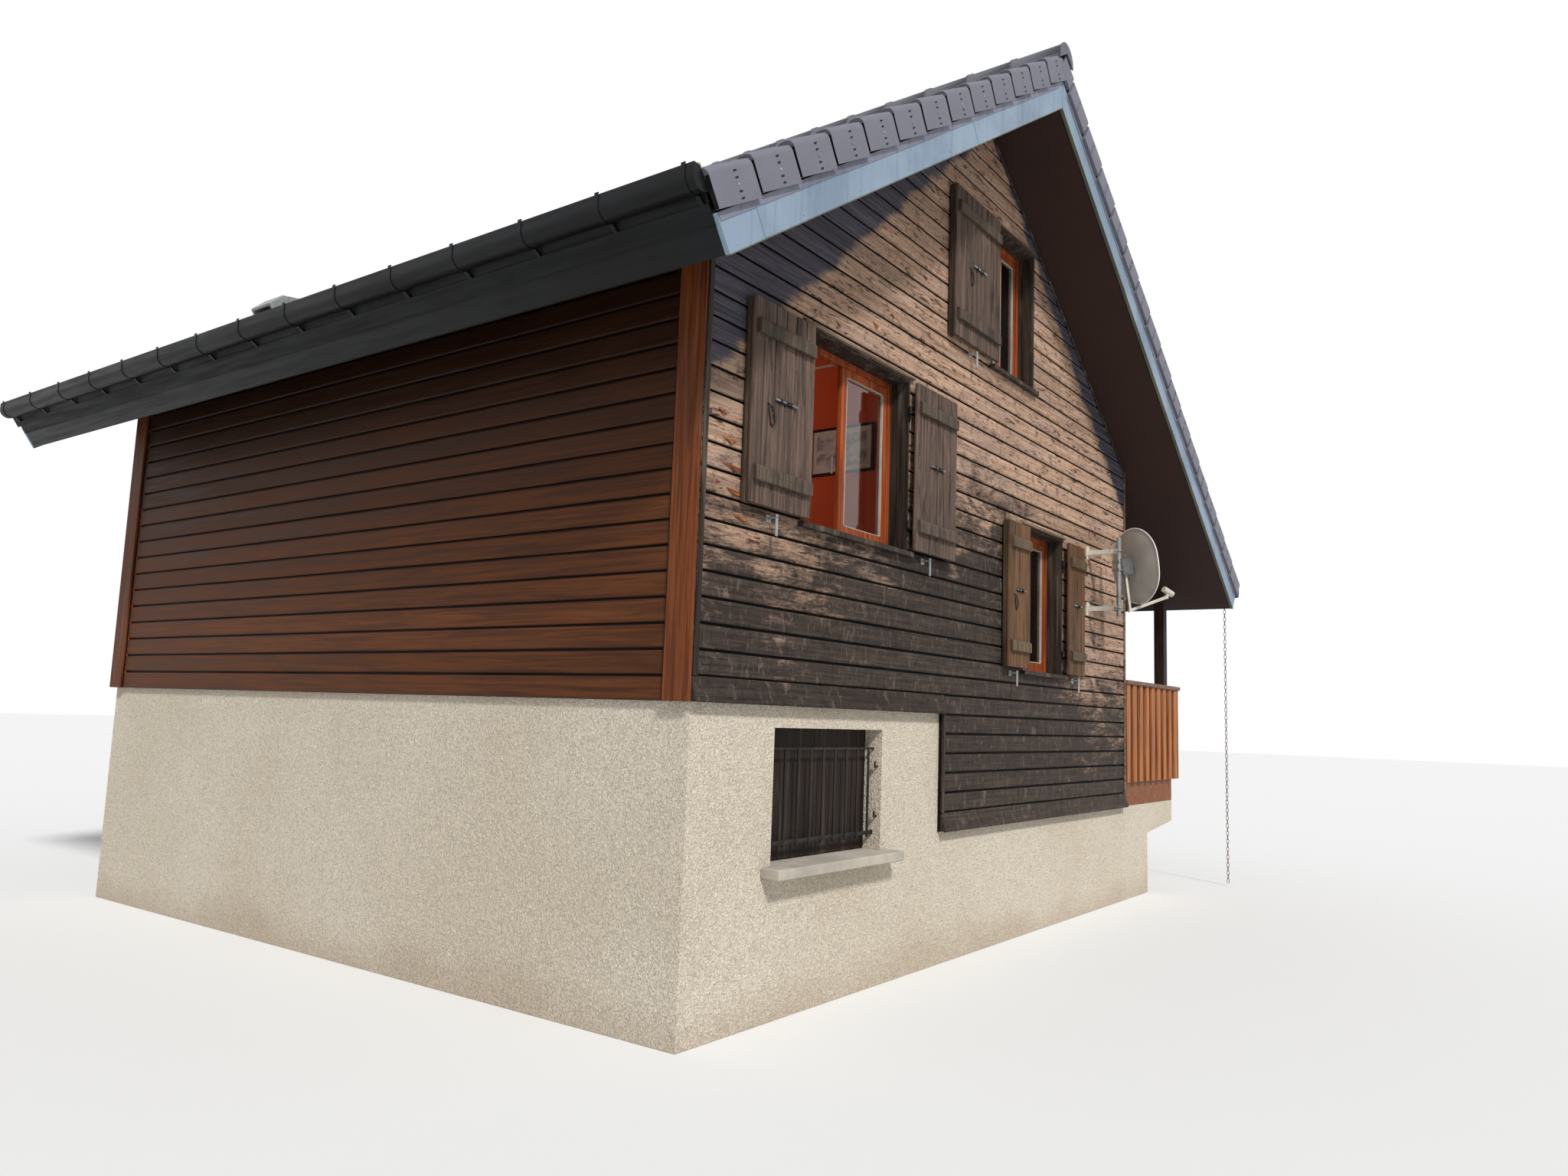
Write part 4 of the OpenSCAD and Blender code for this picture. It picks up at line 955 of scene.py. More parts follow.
class Rows:
    """Geometry Nodes that lay one shape out in columns and rows."""

    INPUTS = (
        ("Shape", "NodeSocketObject", None), ("Columns", "NodeSocketInt", 1), ("Rows", "NodeSocketInt", 1),
        ("Start", "NodeSocketVector", (0, 0, 0)), ("Column Step", "NodeSocketVector", (0, 0, 0)),
        ("Row Step", "NodeSocketVector", (0, 0, 0)), ("Turn", "NodeSocketVector", (0, 0, 0)),
        ("Column Turn", "NodeSocketVector", (0, 0, 0)), ("Slack", "NodeSocketFloat", 0.0),
        ("Seed", "NodeSocketInt", 1), ("Finish", "NodeSocketMaterial", None))

    def __init__(self) -> None:
        """Builds the tree."""
        self.tree = bpy.data.node_groups.new("shape_in_rows", "GeometryNodeTree")
        self.keys: dict[str, str] = {}
        self.tree.interface.new_socket("Geometry", in_out="OUTPUT", socket_type="NodeSocketGeometry")
        for name, kind, _ in self.INPUTS:
            made = self.tree.interface.new_socket(name, in_out="INPUT", socket_type=kind)
            self.keys[name] = made.identifier
        self.build(self.tree.nodes.new("NodeGroupInput").outputs)

    def out(self, kind: str, inputs: Inputs, **settings: object) -> Socket:
        """Adds a node, as wired does, and gives its first output."""
        return wired(self.tree, kind, inputs, **settings).outputs[0]

    def vector(self, kind: str, first: Socket, second: Socket) -> Socket:
        """One step with vectors, where SCALE takes a number as its second input."""
        return self.out("ShaderNodeVectorMath", {0: first, "Scale" if kind == "SCALE" else 1: second},
                        operation=kind)

    def build(self, given: bpy.types.NodeOutputs) -> None:
        """Lays the nodes out: places, turned instances, their tone, one mesh and its finish.

        Args:
            given: The tree's inputs.
        """
        columns, seed = given["Columns"], given["Seed"]
        index = self.out("GeometryNodeInputIndex", {})
        count = self.out("ShaderNodeMath", {0: columns, 1: given["Rows"]}, operation="MULTIPLY")
        column = self.out("ShaderNodeMath", {0: index, 1: columns}, operation="MODULO")
        row = self.out("ShaderNodeMath", {0: index, 1: columns}, operation="DIVIDE")
        row = self.out("ShaderNodeMath", {0: row}, operation="FLOOR")
        spread = self.out("FunctionNodeRandomValue", {"Min": (-1.0,) * 3, "Max": (1.0,) * 3, "Seed": seed},
                          data_type="FLOAT_VECTOR")
        place = self.vector("ADD", self.vector("SCALE", given["Column Step"], column),
                            self.vector("SCALE", given["Row Step"], row))
        place = self.vector("ADD", place, self.vector("SCALE", spread, given["Slack"]))
        place = self.vector("ADD", place, given["Start"])
        turn = self.vector("ADD", given["Turn"], self.vector("SCALE", given["Column Turn"], column))
        line = self.out("GeometryNodeMeshLine", {"Count": count})
        points = self.out("GeometryNodeSetPosition", {"Geometry": line, "Position": place})
        shape = wired(self.tree, "GeometryNodeObjectInfo", {"Object": given["Shape"]}).outputs["Geometry"]
        laid = self.out("GeometryNodeInstanceOnPoints", {"Points": points, "Instance": shape,
                                                         "Rotation": turn})
        tone = wired(self.tree, "FunctionNodeRandomValue", {"Seed": seed}, data_type="FLOAT").outputs[1]
        toned = self.out("GeometryNodeStoreNamedAttribute", {"Geometry": laid, "Name": "tone", "Value": tone},
                         data_type="FLOAT", domain="INSTANCE")
        real = self.out("GeometryNodeRealizeInstances", {"Geometry": toned})
        done = self.out("GeometryNodeSetMaterial", {"Geometry": real, "Material": given["Finish"]})
        wired(self.tree, "NodeGroupOutput", {0: done})

    def lay(self, shape: Works, flip: bool = False, **values: object) -> Mesh:
        """Makes one laid-out mesh.

        Args:
            shape: The shape that repeats, in its first finish.
            flip: Whether the shape is mirrored in Y first.
            **values: The tree's other inputs, with a low line for each space.

        Returns:
            A plain mesh.
        """
        model = shape.piece()
        if flip:
            model.data.transform(Matrix.Diagonal((1, -1, 1, 1)))
            model.data.flip_normals()
        host = placed("rows_host", bpy.data.meshes.new("rows_host"))
        repeat = host.modifiers.new("rows", "NODES")
        repeat.node_group = self.tree
        given = {name: value for name, _, value in self.INPUTS}
        given.update(Shape=model, Finish=shape.finishes[0].material())
        given.update({key.replace("_", " ").title(): value for key, value in values.items()})
        for key, value in given.items():
            plain = not isinstance(value, (tuple, Vector))
            repeat[self.keys[key]] = value if plain else [float(v) for v in value]
        mesh = settled(host)
        for used in (host, model):
            bpy.data.objects.remove(used)
        return mesh


def joined(name: str, meshes: Sequence[Mesh], smooth: float = 0.0) -> Thing:
    """Joins plain meshes into one object.

    Args:
        name: The object's name.
        meshes: The meshes, each with one finish.
        smooth: Largest angle in degrees that is shaded smooth.

    Returns:
        The object.
    """
    whole = bmesh.new()
    materials: list[Material] = []
    for mesh in meshes:
        start = len(whole.faces)
        whole.from_mesh(mesh)
        whole.faces.ensure_lookup_table()
        if mesh.materials[0] not in materials:
            materials.append(mesh.materials[0])
        for face in whole.faces[start:]:
            face.material_index = materials.index(mesh.materials[0])
    result = bpy.data.meshes.new(name)
    whole.to_mesh(result)
    whole.free()
    for material in materials:
        result.materials.append(material)
    return softened(placed(name, result), 0.0, smooth)


def islands(mesh: bmesh.types.BMesh) -> list[list[bmesh.types.BMFace]]:
    """Sorts a mesh's faces into its separate solids.

    Args:
        mesh: The mesh.

    Returns:
        The faces of each solid.
    """
    left, found = set(mesh.faces), []
    for first in mesh.faces:
        if first not in left:
            continue
        left.remove(first)
        group, todo = [], [first]
        while todo:
            face = todo.pop()
            group.append(face)
            for edge in face.edges:
                for other in edge.link_faces:
                    if other in left:
                        left.remove(other)
                        todo.append(other)
        found.append(group)
    return found


def eased(node: str, slot: str, *finishes: Finish, bevel: float = 0.0, smooth: float = 0.0,
          choose: Callable[[Vector, Vector], int] | None = None) -> Thing:
    """Stands for a CAD node with a copy whose edges are rounded and whose solids differ in tone.

    Args:
        node: The CAD node.
        slot: The record's material slot.
        *finishes: The finishes, of which the first is used unless another is chosen.
        bevel: Width of the rounded edges, or 0 for none.
        smooth: Largest angle in degrees that is shaded smooth, or 0 for none.
        choose: Gives a finish's number from a solid's lowest and highest corner.

    Returns:
        The piece.
    """
    whole = bmesh.new()
    whole.from_mesh(frame["nodes"][node].data)
    bmesh.ops.remove_doubles(whole, verts=whole.verts, dist=2e-5)
    if bevel > 0:
        bmesh.ops.dissolve_limit(whole, angle_limit=math.radians(1), verts=whole.verts, edges=whole.edges)
    bmesh.ops.recalc_face_normals(whole, faces=whole.faces)
    layer = whole.faces.layers.float.new("tone")
    chance = random.Random(node)
    for group in islands(whole):
        tone = chance.random()
        corners = [v.co for face in group for v in face.verts]
        low, high = (Vector(map(pick, zip(*corners))) for pick in (min, max))
        for face in group:
            face[layer] = tone
            face.material_index = choose(low, high) if choose else 0
    mesh = bpy.data.meshes.new(node + "_eased")
    whole.to_mesh(mesh)
    whole.free()
    for finish in finishes:
        mesh.materials.append(finish.material())
    return carried(softened(placed(node + "_eased", mesh), bevel, smooth), slot, node)


@dataclass(frozen=True)
class Opening:
    """A window or door opening: where it starts along the wall, its foot, width and height."""

    start: float
    foot: float
    width: float
    height: float = 1.165
    lining: float = 0.022

    @property
    def cut(self) -> tuple[float, float, float, float]:
        """The hole in the wall, with its lining: ends along the wall, foot and head."""
        around = self.lining
        return (self.start - around, self.end + around, self.foot - around, self.head + around)

    @property
    def end(self) -> float:
        """Where it ends along the wall."""
        return self.start + self.width

    @property
    def head(self) -> float:
        """The height of its head."""
        return self.foot + self.height


BIG = Opening(-2.342, 2.758, 1.210)
SMALL = Opening(0.797, 2.075, 0.817)
ATTIC = Opening(0.169, 4.412, 0.787)
DOOR = Opening(0.140, 1.080, 1.400, 2.050)
SIDE = Opening(-1.960, 2.075, 0.900)
GABLE_WINDOWS = (BIG, SMALL, ATTIC)
EACH_WINDOW = [(gable, opening) for gable in Gable for opening in GABLE_WINDOWS]


@dataclass
class BoardWall:
    """A wall of grooved boards laid one on another, cut round its openings and under the roof."""

    node: str
    place: Place
    ends: Callable[[float], Point]
    foot: float
    head: float
    finish: Finish
    openings: Sequence[Opening] = ()
    thick: float = HOUSE.wall_t
    least: float = 0.004
    outline: Sequence[Point] = ((0.018, 0.0), (0.007, 0.002), (0.0015, 0.007), (0.0, 0.013), (0.0, 0.115),
                                (0.003, 0.1215), (0.016, 0.1245), (0.018, 0.135))

    def build(self) -> None:
        """Builds the boards, which stand for the wall's node."""
        works = Works(self.node + "_boards", self.finish, INTERIOR)
        for i in range(math.ceil((self.head - self.foot) / HOUSE.board - 1e-6)):
            low = self.foot + i * HOUSE.board
            self.row(works, low, min(low + HOUSE.board, self.head))
        wall = works.piece()
        inward = self.place(0, 1, 0) - self.place(0, 0, 0)
        for face in wall.data.polygons:
            behind = (face.center - self.place(0, self.thick, 0)).dot(inward) > -0.01
            if behind and face.normal.dot(inward) > 0.9:
                face.material_index = 1
        carried(wall, "cladding", self.node)

    def row(self, works: Works, low: float, high: float) -> None:
        """One row of boards, split at the openings.

        Args:
            works: Where the boards go.
            low: Foot of the row.
            high: Head of the row.
        """
        tone = works.chance.random()
        hit = [o for o in self.openings if o.cut[2] < high - 0.001 and o.cut[3] > low + 0.001]
        edges = [None, *sorted({v for o in hit for v in o.cut[:2]}), None]
        for a, b in zip(edges[:-1], edges[1:]):
            middle = None if a is None or b is None else (a + b) / 2
            inside = [o.cut for o in hit if middle is not None and o.cut[0] < middle < o.cut[1]]
            for z0, z1 in ((low, inside[0][2]), (inside[0][3], high)) if inside else ((low, high),):
                if z1 - z0 > self.least:
                    self.board(works, (a, b), low, (z0, z1), tone)

    def board(self, works: Works, ends: Sequence[float | None], low: float, span: Point, tone: float) -> None:
        """One board, or what an opening leaves of it.

        Args:
            works: Where the board goes.
            ends: Its ends along the wall, or None for the wall's own.
            low: Foot of its row.
            span: Its own foot and head.
            tone: Its tone.
        """
        ring = [(d, min(max(low + z, span[0]), span[1])) for d, z in self.outline]
        ring += [(self.thick, span[1]), (self.thick, span[0])]
        rings: tuple[list[Vector], list[Vector]] = ([], [])
        for d, z in ring:
            walls = self.ends(min(max(z, low + 0.0002), low + HOUSE.board - 0.0002))
            for points, own, wall in zip(rings, ends, walls):
                points.append(self.place(wall if own is None else own, d, z))
        works.loft(rings, 0, tone)


def gable_ends(z: float) -> Point:
    """Where a gable wall ends at one height.

    Args:
        z: The height.

    Returns:
        Its left and right end across the house.
    """
    reach = (HOUSE.apex_z - z) / HOUSE.rise
    left = HOUSE.step_x if z < HOUSE.step_z - 1e-6 else -HOUSE.wall_x
    return (max(left, HOUSE.ridge_x - reach), min(HOUSE.wall_x, HOUSE.ridge_x + reach))


@dataclass
class Walls:
    """The four boarded walls with their trims, the corner boards and rafters, and the cellar windows."""

    rafters: int = 6
    rafter_in: float = 0.082
    rafter_h: float = 0.14
    rafter_half: float = 0.041
    jamb_x: float = -1.330
    pin_out: float = -0.062
    pins_z: Numbers = (1.035, 1.345)
    rails_z: Point = (0.920, 1.453)
    bar_over: float = 0.013
    drip_h: float = 0.13
    strip_half: float = 0.018
    strip_t: float = 0.010
    drip: Sequence[Point] = ((0.0, 0.128), (0.004, 0.130), (0.012, 0.075), (0.034, 0.010), (0.034, 0.0),
                             (0.016, 0.0), (0.0, 0.03))
    lip: Sequence[Point] = ((0.0, 0.0), (0.024, -0.005), (0.026, 0.006), (0.0, 0.026))
    bead: float = 0.011
    flake_steps: int = 7
    flake_spots: Sequence[tuple[float, float, float]] = (
        (-3.08, 2.96, 0.20), (-3.05, 2.83, 0.16), (-3.10, 3.10, 0.12), (-2.98, 2.70, 0.13),
        (-3.14, 3.24, 0.07), (-1.62, 4.20, 0.07), (-1.40, 4.33, 0.05), (-2.05, 4.06, 0.05),
        (-0.82, 4.28, 0.08), (-0.60, 4.60, 0.05),
        (-0.95, 4.75, 0.05), (-1.2, 4.62, 0.04), (-0.30, 5.05, 0.05), (0.2, 5.72, 0.04), (-0.1, 5.9, 0.04),
        (1.5, 4.2, 0.06), (1.1, 3.75, 0.05), (2.1, 3.6, 0.06), (1.9, 3.95, 0.05), (2.4, 3.45, 0.04))

    def build(self) -> None:
        """Builds the walls."""
        for gable, node in ((Gable.FRONT, "front_wall"), (Gable.REAR, "rear_wall")):
            BoardWall(node, lambda u, d, z, s=gable.value: Vector((u, s * (HOUSE.wall_y - d), z)), gable_ends,
                      HOUSE.low_z, HOUSE.apex_z - 0.002, CLADDING, GABLE_WINDOWS).build()
            self.trims(gable)
        self.eave(Slope.LEFT, "left_wall", HOUSE.step_z, ())
        self.eave(Slope.RIGHT, "right_wall", HOUSE.low_z, (DOOR, SIDE))
        self.flakes()
        eased("corner_boards", "dark_wood", CORNER, bevel=0.003)
        eased("rafters", "planks", RAW_WOOD, bevel=0.002)
        eased("cellar_sills", "concrete", SILL, bevel=0.006)
        eased("cellar_shutters", "dark_wood", CELLAR_WOOD, bevel=0.003)
        grilles = eased("cellar_grilles", "iron", IRON, smooth=35)
        foot, head = self.rails_z
        for vertex in grilles.data.vertices:
            vertex.co.z = min(max(vertex.co.z, foot - self.bar_over), head + self.bar_over)
        self.pins()

    def pins(self) -> None:
        """The cellar leaves' hinge pins on one jamb of each opening."""
        works = Works("cellar_pins", IRON, smooth=40)
        end = self.jamb_x - 0.030
        for gable in Gable:
            y = gable.value * (HOUSE.wall_y + self.pin_out)
            for z in self.pins_z:
                works.rod((self.jamb_x + 0.002, y, z), (end, y, z), 0.006, 8)
                works.rod((end, y, z - 0.008), (end, y, z + 0.032), 0.0065, 8)
        works.carry("iron")

    def eave(self, slope: Slope, node: str, foot: float, openings: Sequence[Opening]) -> None:
        """One wall under an eave, with the blocking between the rafters' ends.

        Args:
            slope: Which side.
            node: The CAD node it stands for.
            foot: Its foot.
            openings: Its openings.
        """
        side = slope.value
        reach = HOUSE.wall_y - HOUSE.wall_t
        outer, inner = side * HOUSE.wall_x, side * (HOUSE.wall_x - HOUSE.wall_t)
        head = HOUSE.soffit_z(outer)
        BoardWall(node, lambda u, d, z, s=side: Vector((s * (HOUSE.wall_x - d), u, z)),
                  lambda z: (-reach, reach), foot, head, EAVE_WALL, openings).build()
        works = Works(node + "_blocking", EAVE_WALL)
        first = HOUSE.wall_y - self.rafter_in
        rafters = [-first + i * 2 * first / (self.rafters - 1) for i in range(self.rafters)]
        top = self.rafter_h / math.cos(HOUSE.pitch)
        shape = [(outer, head), (outer, HOUSE.soffit_z(outer) + top), (inner, HOUSE.soffit_z(inner) + top),
                 (inner, HOUSE.soffit_z(inner)), (inner, head)]
        for a, b in zip(rafters[:-1], rafters[1:]):
            ends = max(a + self.rafter_half, -reach), min(b - self.rafter_half, reach)
            works.bar(shape, lambda x, z, at: Vector((x, at, z)), ends)
        works.carry("cladding")

    def trims(self, gable: Gable) -> None:
        """Drip boards along the foot, lips over the windows, corner strips and beads under the soffit.

        Args:
            gable: Which gable.
        """
        sign, face = gable.value, HOUSE.wall_y
        works = Works(f"{gable.name.lower()}_trims", CLADDING, REVEAL, TRIM, bevel=0.0015)

        def run(outline: Sequence[Point], base: float, ends: Point, slot: int = 0) -> None:
            """Draws an outline along the wall's face over one height."""
            works.bar(outline, lambda d, h, at: Vector((at, sign * (face + d), base + h)), ends, slot)

        run(self.drip, HOUSE.step_z, (-HOUSE.wall_x, HOUSE.step_x - 0.002))
        run(self.drip, HOUSE.low_z, (HOUSE.step_x, HOUSE.wall_x))
        works.plate(gable, (HOUSE.step_x - 0.004, 0, HOUSE.low_z + self.drip_h),
                    (HOUSE.step_x + 0.020, 0.014, HOUSE.step_z - 0.002), 1)
        for opening, ear in ((BIG, 0.05), (SMALL, 0.04), (ATTIC, 0.03)):
            run(self.lip, opening.head + 0.024, (opening.start - ear, opening.end + ear), 2)
        for slope in Slope:
            reach = (HOUSE.wall_x - slope.value * HOUSE.ridge_x) / math.cos(HOUSE.pitch)
            low, high = (HOUSE.on_roof(slope, down, -2 * self.bead, sign * (face + 0.009))
                         for down in (min(HOUSE.length(slope), reach), 0.02))
            works.rod(low, high, self.bead, 8, 1)
        for side, slot, foot in ((-1, 1, HOUSE.step_z), (1, 2, HOUSE.low_z)):
            x, half = side * (HOUSE.wall_x - self.strip_half), self.strip_half
            works.plate(gable, (x - half, 0, foot + self.drip_h),
                        (x + half, self.strip_t, HOUSE.soffit_z(side * HOUSE.wall_x) - 0.02), slot)
        works.carry("dark_wood")

    def flakes(self) -> None:
        """Curled flakes of old stain beside and over the big window, still held at one edge."""
        works = Works("stain_flakes", FLAKE)
        chance, face = works.chance, -HOUSE.wall_y
        for x, z, length in self.flake_spots:
            rings = []
            for k in range(self.flake_steps + 1):
                share = k / self.flake_steps
                curl = math.sin(math.pi * share) * (0.5 + chance.random() * 0.5)
                at, held = x + length * share, z + chance.uniform(-0.004, 0.004) - 0.012 * share
                free = Vector((at + chance.uniform(-0.006, 0.006), face - 0.002 - 0.016 * curl,
                               held - 0.006 - 0.022 * curl))
                rings.append([Vector((at, face - 0.0005, held)), free, free + Vector((0, 0.0012, -0.0006)),
                              Vector((at, face, held - 0.0012))])
            works.loft(rings)
        works.carry("cladding")


COURSES = {Slope.LEFT: 13, Slope.RIGHT: 16}


@dataclass
class Roof:
    """Tile courses, verge tiles, ridge tiles, the verge boards' sheet work, gutter beads and the vent."""

    rows: Rows
    gauge: float = 0.376
    lap: float = 0.070
    cut: float = 0.19
    thick: float = 0.022
    over: float = 0.008
    bed: float = 0.320
    columns: int = 24
    field_y: float = 3.605
    roll: float = 0.015
    verge_up: float = 0.004
    verge_gap: float = 0.024
    marks: int = 5
    mark_step: float = 0.031
    mark_up: float = 0.20
    screw: int = 2
    rivet_step: float = 0.617
    rivet_end: float = 0.076
    rivet_up: float = 0.030
    fold_top: float = 0.183
    sheet_laps: Point = (1.68, 4.36)
    fold_l: float = 1.24
    fold_low: float = 0.141
    bead: float = 0.0075
    bead_y: float = 3.72
    beads: Sequence[Point] = ((-4.083, 3.997), (5.303, 3.226))
    cheek: Sequence[Point] = ((-4.082, 4.000), (-4.044, 4.018), (-3.990, 3.938), (-4.075, 3.915))
    cheek_to: Point = (1.220, 0.771)
    cheek_y: Point = (3.744, 3.749)

    def build(self) -> None:
        """Builds what lies on the roof."""
        self.field()
        self.verge()
        self.rivets()
        self.sheets()
        self.ends()
        eased("ridge_tiles", "tile", RIDGE, smooth=35)
        eased("roof_vent", "zinc", ZINC, bevel=0.004)

    def tail(self, slope: Slope, course: int = 0) -> float:
        """How far down the slope the foot of a course lies."""
        return HOUSE.length(slope) + self.over - course * self.gauge

    def foot(self, slope: Slope, course: int, y: float, lift: float = 0.0) -> Vector:
        """Where the foot of a course lies, at one place along the ridge."""
        return HOUSE.on_roof(slope, self.tail(slope, course), self.bed + self.thick + lift, y)

    def wave(self, share: float) -> float:
        """Height of the tile's two rolls across its width, from 0 to 1."""
        part = (share * 2) % 1.0
        return self.roll * (0.5 + 0.5 * math.cos(2 * math.pi * (part - 0.5))) if 0.18 < part < 0.82 else 0.0

    def tile(self, length: float) -> Works:
        """One field tile, its foot at the origin and its length towards -X.

        Args:
            length: The tile's length.

        Returns:
            The shape, which rows of tiles repeat.
        """
        works = Works("field_tile_shape", TILE, smooth=50)
        wide = 2 * self.field_y / self.columns + 0.012
        marks = [k / 16 for k in range(17)]
        rings = []
        for x, lift in ((-length, 0.0), (-0.012, 0.0), (0.0, -0.004)):
            drop = x * self.thick / self.gauge
            top = [Vector((x, (m - 0.5) * wide, drop + self.thick + self.wave(m) + lift)) for m in marks]
            low = [Vector((x, (m - 0.5) * wide, drop + self.wave(m) * 0.7)) for m in marks]
            rings.append(top + low[::-1])
        works.loft(rings, 0, 0.5)
        return works

    def field(self) -> None:
        """Lays the courses of both slopes."""
        cover = 2 * self.field_y / self.columns
        first = -self.field_y + cover / 2
        across = {"columns": self.columns, "column_step": (0, cover, 0)}
        meshes = [self.rows.lay(self.tile(self.gauge + self.lap), rows=count, seed=count, slack=0.0008,
                                start=self.foot(slope, 0, first), row_step=HOUSE.climb(slope, self.gauge),
                                turn=HOUSE.turn(slope), **across) for slope, count in COURSES.items()]
        right = Slope.RIGHT
        meshes.append(self.rows.lay(self.tile(self.cut), seed=4, turn=HOUSE.turn(right),
                                    start=self.foot(right, COURSES[right], first), **across))
        carried(joined("roof_tile_courses", meshes, 50), "tile", "roof_tiles")

    def verge_tile(self, length: float) -> Works:
        """One verge tile: a plate with a roll at its edge and a hanging flange, foot at the origin.

        Args:
            length: How much of the tile is left, for the cut ones at the ridge.

        Returns:
            The shape, with its flange towards -Y.
        """
        works = Works("verge_tile_shape", FLANGE, smooth=35)
        rings = []
        for x, ease in ((-length, 0.0), (-0.014, 0.0), (0.0, 0.004)):
            drop, top = x * self.thick / self.gauge, self.thick - ease
            rings.append([Vector((x, y, z + drop)) for y, z in (
                (0.148, top), (0.070, top), (0.045, top + 0.010), (0.018, top + 0.014), (-0.010, top + 0.009),
                (-0.022, top - 0.006), (-0.026, 0.0), (-0.026 + ease, -0.152), (-0.002, -0.152),
                (-0.001, -0.004), (0.148, 0.001))])
        works.loft(rings, 0, 0.5)
        return works

    def verge(self) -> None:
        """Lays the verge tiles of all four edges, with painted shade in the gaps between them, their slots as
        painted shade, and screws.
        """
        # the slots and the hollows between verge tiles are dark boxes of painted shade
        slot = Works("slot_shape", GAP_SHADE)
        slot.block((-0.012, -0.0012, -0.0035), (0.012, 0.002, 0.0035))
        screw = Works("screw_shape", ZINC)
        screw.rod((0, 0.002, 0), (0, -0.004, 0), 0.007, 8)
        tile_gap_shade = Works("hollow_shape", GAP_SHADE)
        tile_gap_shade.block((0.0003, -0.0245, -0.1505), (0.0013, -0.003, -0.004))
        tiles, marks = [], []
        for slope, count in COURSES.items():
            for gable in Gable:
                laid = {"rows": count, "row_step": HOUSE.climb(slope, self.gauge), "turn": HOUSE.turn(slope)}
                edge = {**laid, "flip": gable.value * slope.value > 0, "seed": count + gable.value,
                        "slack": 0.0012,
                        "start": self.foot(slope, 0, gable.value * HOUSE.half_y, self.verge_up)}
                tiles.append(self.rows.lay(self.verge_tile(self.gauge - self.verge_gap), **edge))
                marks.append(self.rows.lay(tile_gap_shade, **edge))
                for i in range(self.marks):
                    at = HOUSE.on_roof(slope, self.tail(slope) - self.mark_up,
                                       self.bed + 0.006 - i * self.mark_step,
                                       gable.value * (HOUSE.half_y + 0.0265))
                    shape = screw if i == self.screw else slot
                    marks.append(self.rows.lay(shape, seed=i + 2, start=at, **laid))
        right = Slope.RIGHT
        for gable in Gable:
            start = self.foot(right, COURSES[right], gable.value * HOUSE.half_y, self.verge_up)
            tiles.append(self.rows.lay(self.verge_tile(self.cut), flip=gable is Gable.REAR, seed=7,
                                       start=start, turn=HOUSE.turn(right)))
        carried(joined("verge_tile_courses", tiles, 35), "tile", "verge_tiles")
        carried(joined("verge_slots_and_screws", marks), "iron")

    def rivets(self) -> None:
        """Rivets along the verge boards."""
        rivet = Works("rivet_shape", ZINC, smooth=60)
        rivet.loft([[Vector((r * c, y, r * s)) for c, s in circle(8)]
                    for r, y in ((0.007, 0.0015), (0.005, -0.003))])
        meshes = []
        for slope in Slope:
            length = HOUSE.length(slope)
            for gable in Gable:
                at = HOUSE.on_roof(slope, length - self.rivet_end, self.rivet_up,
                                   gable.value * (HOUSE.half_y + 0.0005))
                turn = (0.0, 0.0, 0.0 if gable is Gable.FRONT else math.pi)
                meshes.append(self.rows.lay(rivet, rows=int((length - 0.2) / self.rivet_step), start=at,
                                            row_step=HOUSE.climb(slope, self.rivet_step), turn=turn, seed=3))
        carried(joined("verge_rivets", meshes, 60), "zinc")

    def sheets(self) -> None:
        """The verge boards' folded upper strips, laps and olive lower edge, and a strip of painted shade over
        them that shows between the verge tiles.
        """
        works = Works("verge_laps", VERGE, VERGE_EDGE, FOLD, GAP_SHADE)
        for slope in Slope:
            length = HOUSE.length(slope)
            count = round(length / self.fold_l)
            step = (length - 0.004) / count
            for gable in Gable:

                def lay(sizes: Numbers, out: float, slot: int, tone: Tone = None) -> None:
                    """Lays a strip on the verge board's face, or under it."""
                    ends = [gable.value * (HOUSE.half_y + d) for d in (0, out)]
                    works.sheet(HOUSE.strip(slope, *sizes), ends, slot, tone)

                for i in range(count):
                    low = self.fold_low + (0.003 if i % 2 else 0.0)
                    lay((i * step, (i + 1) * step - 0.002, low, self.fold_top), 0.004, 2, 0.4 + 0.2 * (i % 2))
                # painted shade: a dark strip behind the verge tiles, seen in their gaps
                lay((0.10, length - 0.06, 0.190, 0.350), 0.0012, 3, 0.5)
                for down in self.sheet_laps:
                    lay((down, down + 0.045, 0.001, self.fold_top - 0.001), 0.002, 0, 0.5)
                lay((0.0, length - 0.002, -0.006, 0.0), -0.02, 1)
        works.carry("verge_metal")

    def ends(self) -> None:
        """Rolled beads on the gutters' outer edges, and the pale cheeks between gutter and verge tiles."""
        works = Works("gutter_beads", GUTTER, CREAM, smooth=60)
        for x, z in self.beads:
            works.rod((x, -self.bead_y, z), (x, self.bead_y, z), self.bead, 10)
        for sign in (-1, 1):
            for side in Slope:
                quad = self.cheek if side is Slope.LEFT else [
                    (self.cheek_to[0] - x, z - self.cheek_to[1]) for x, z in self.cheek]
                works.sheet([Vector((x, 0, z)) for x, z in quad], [sign * y for y in self.cheek_y], 1, 0.5)
        works.carry("eave_metal")


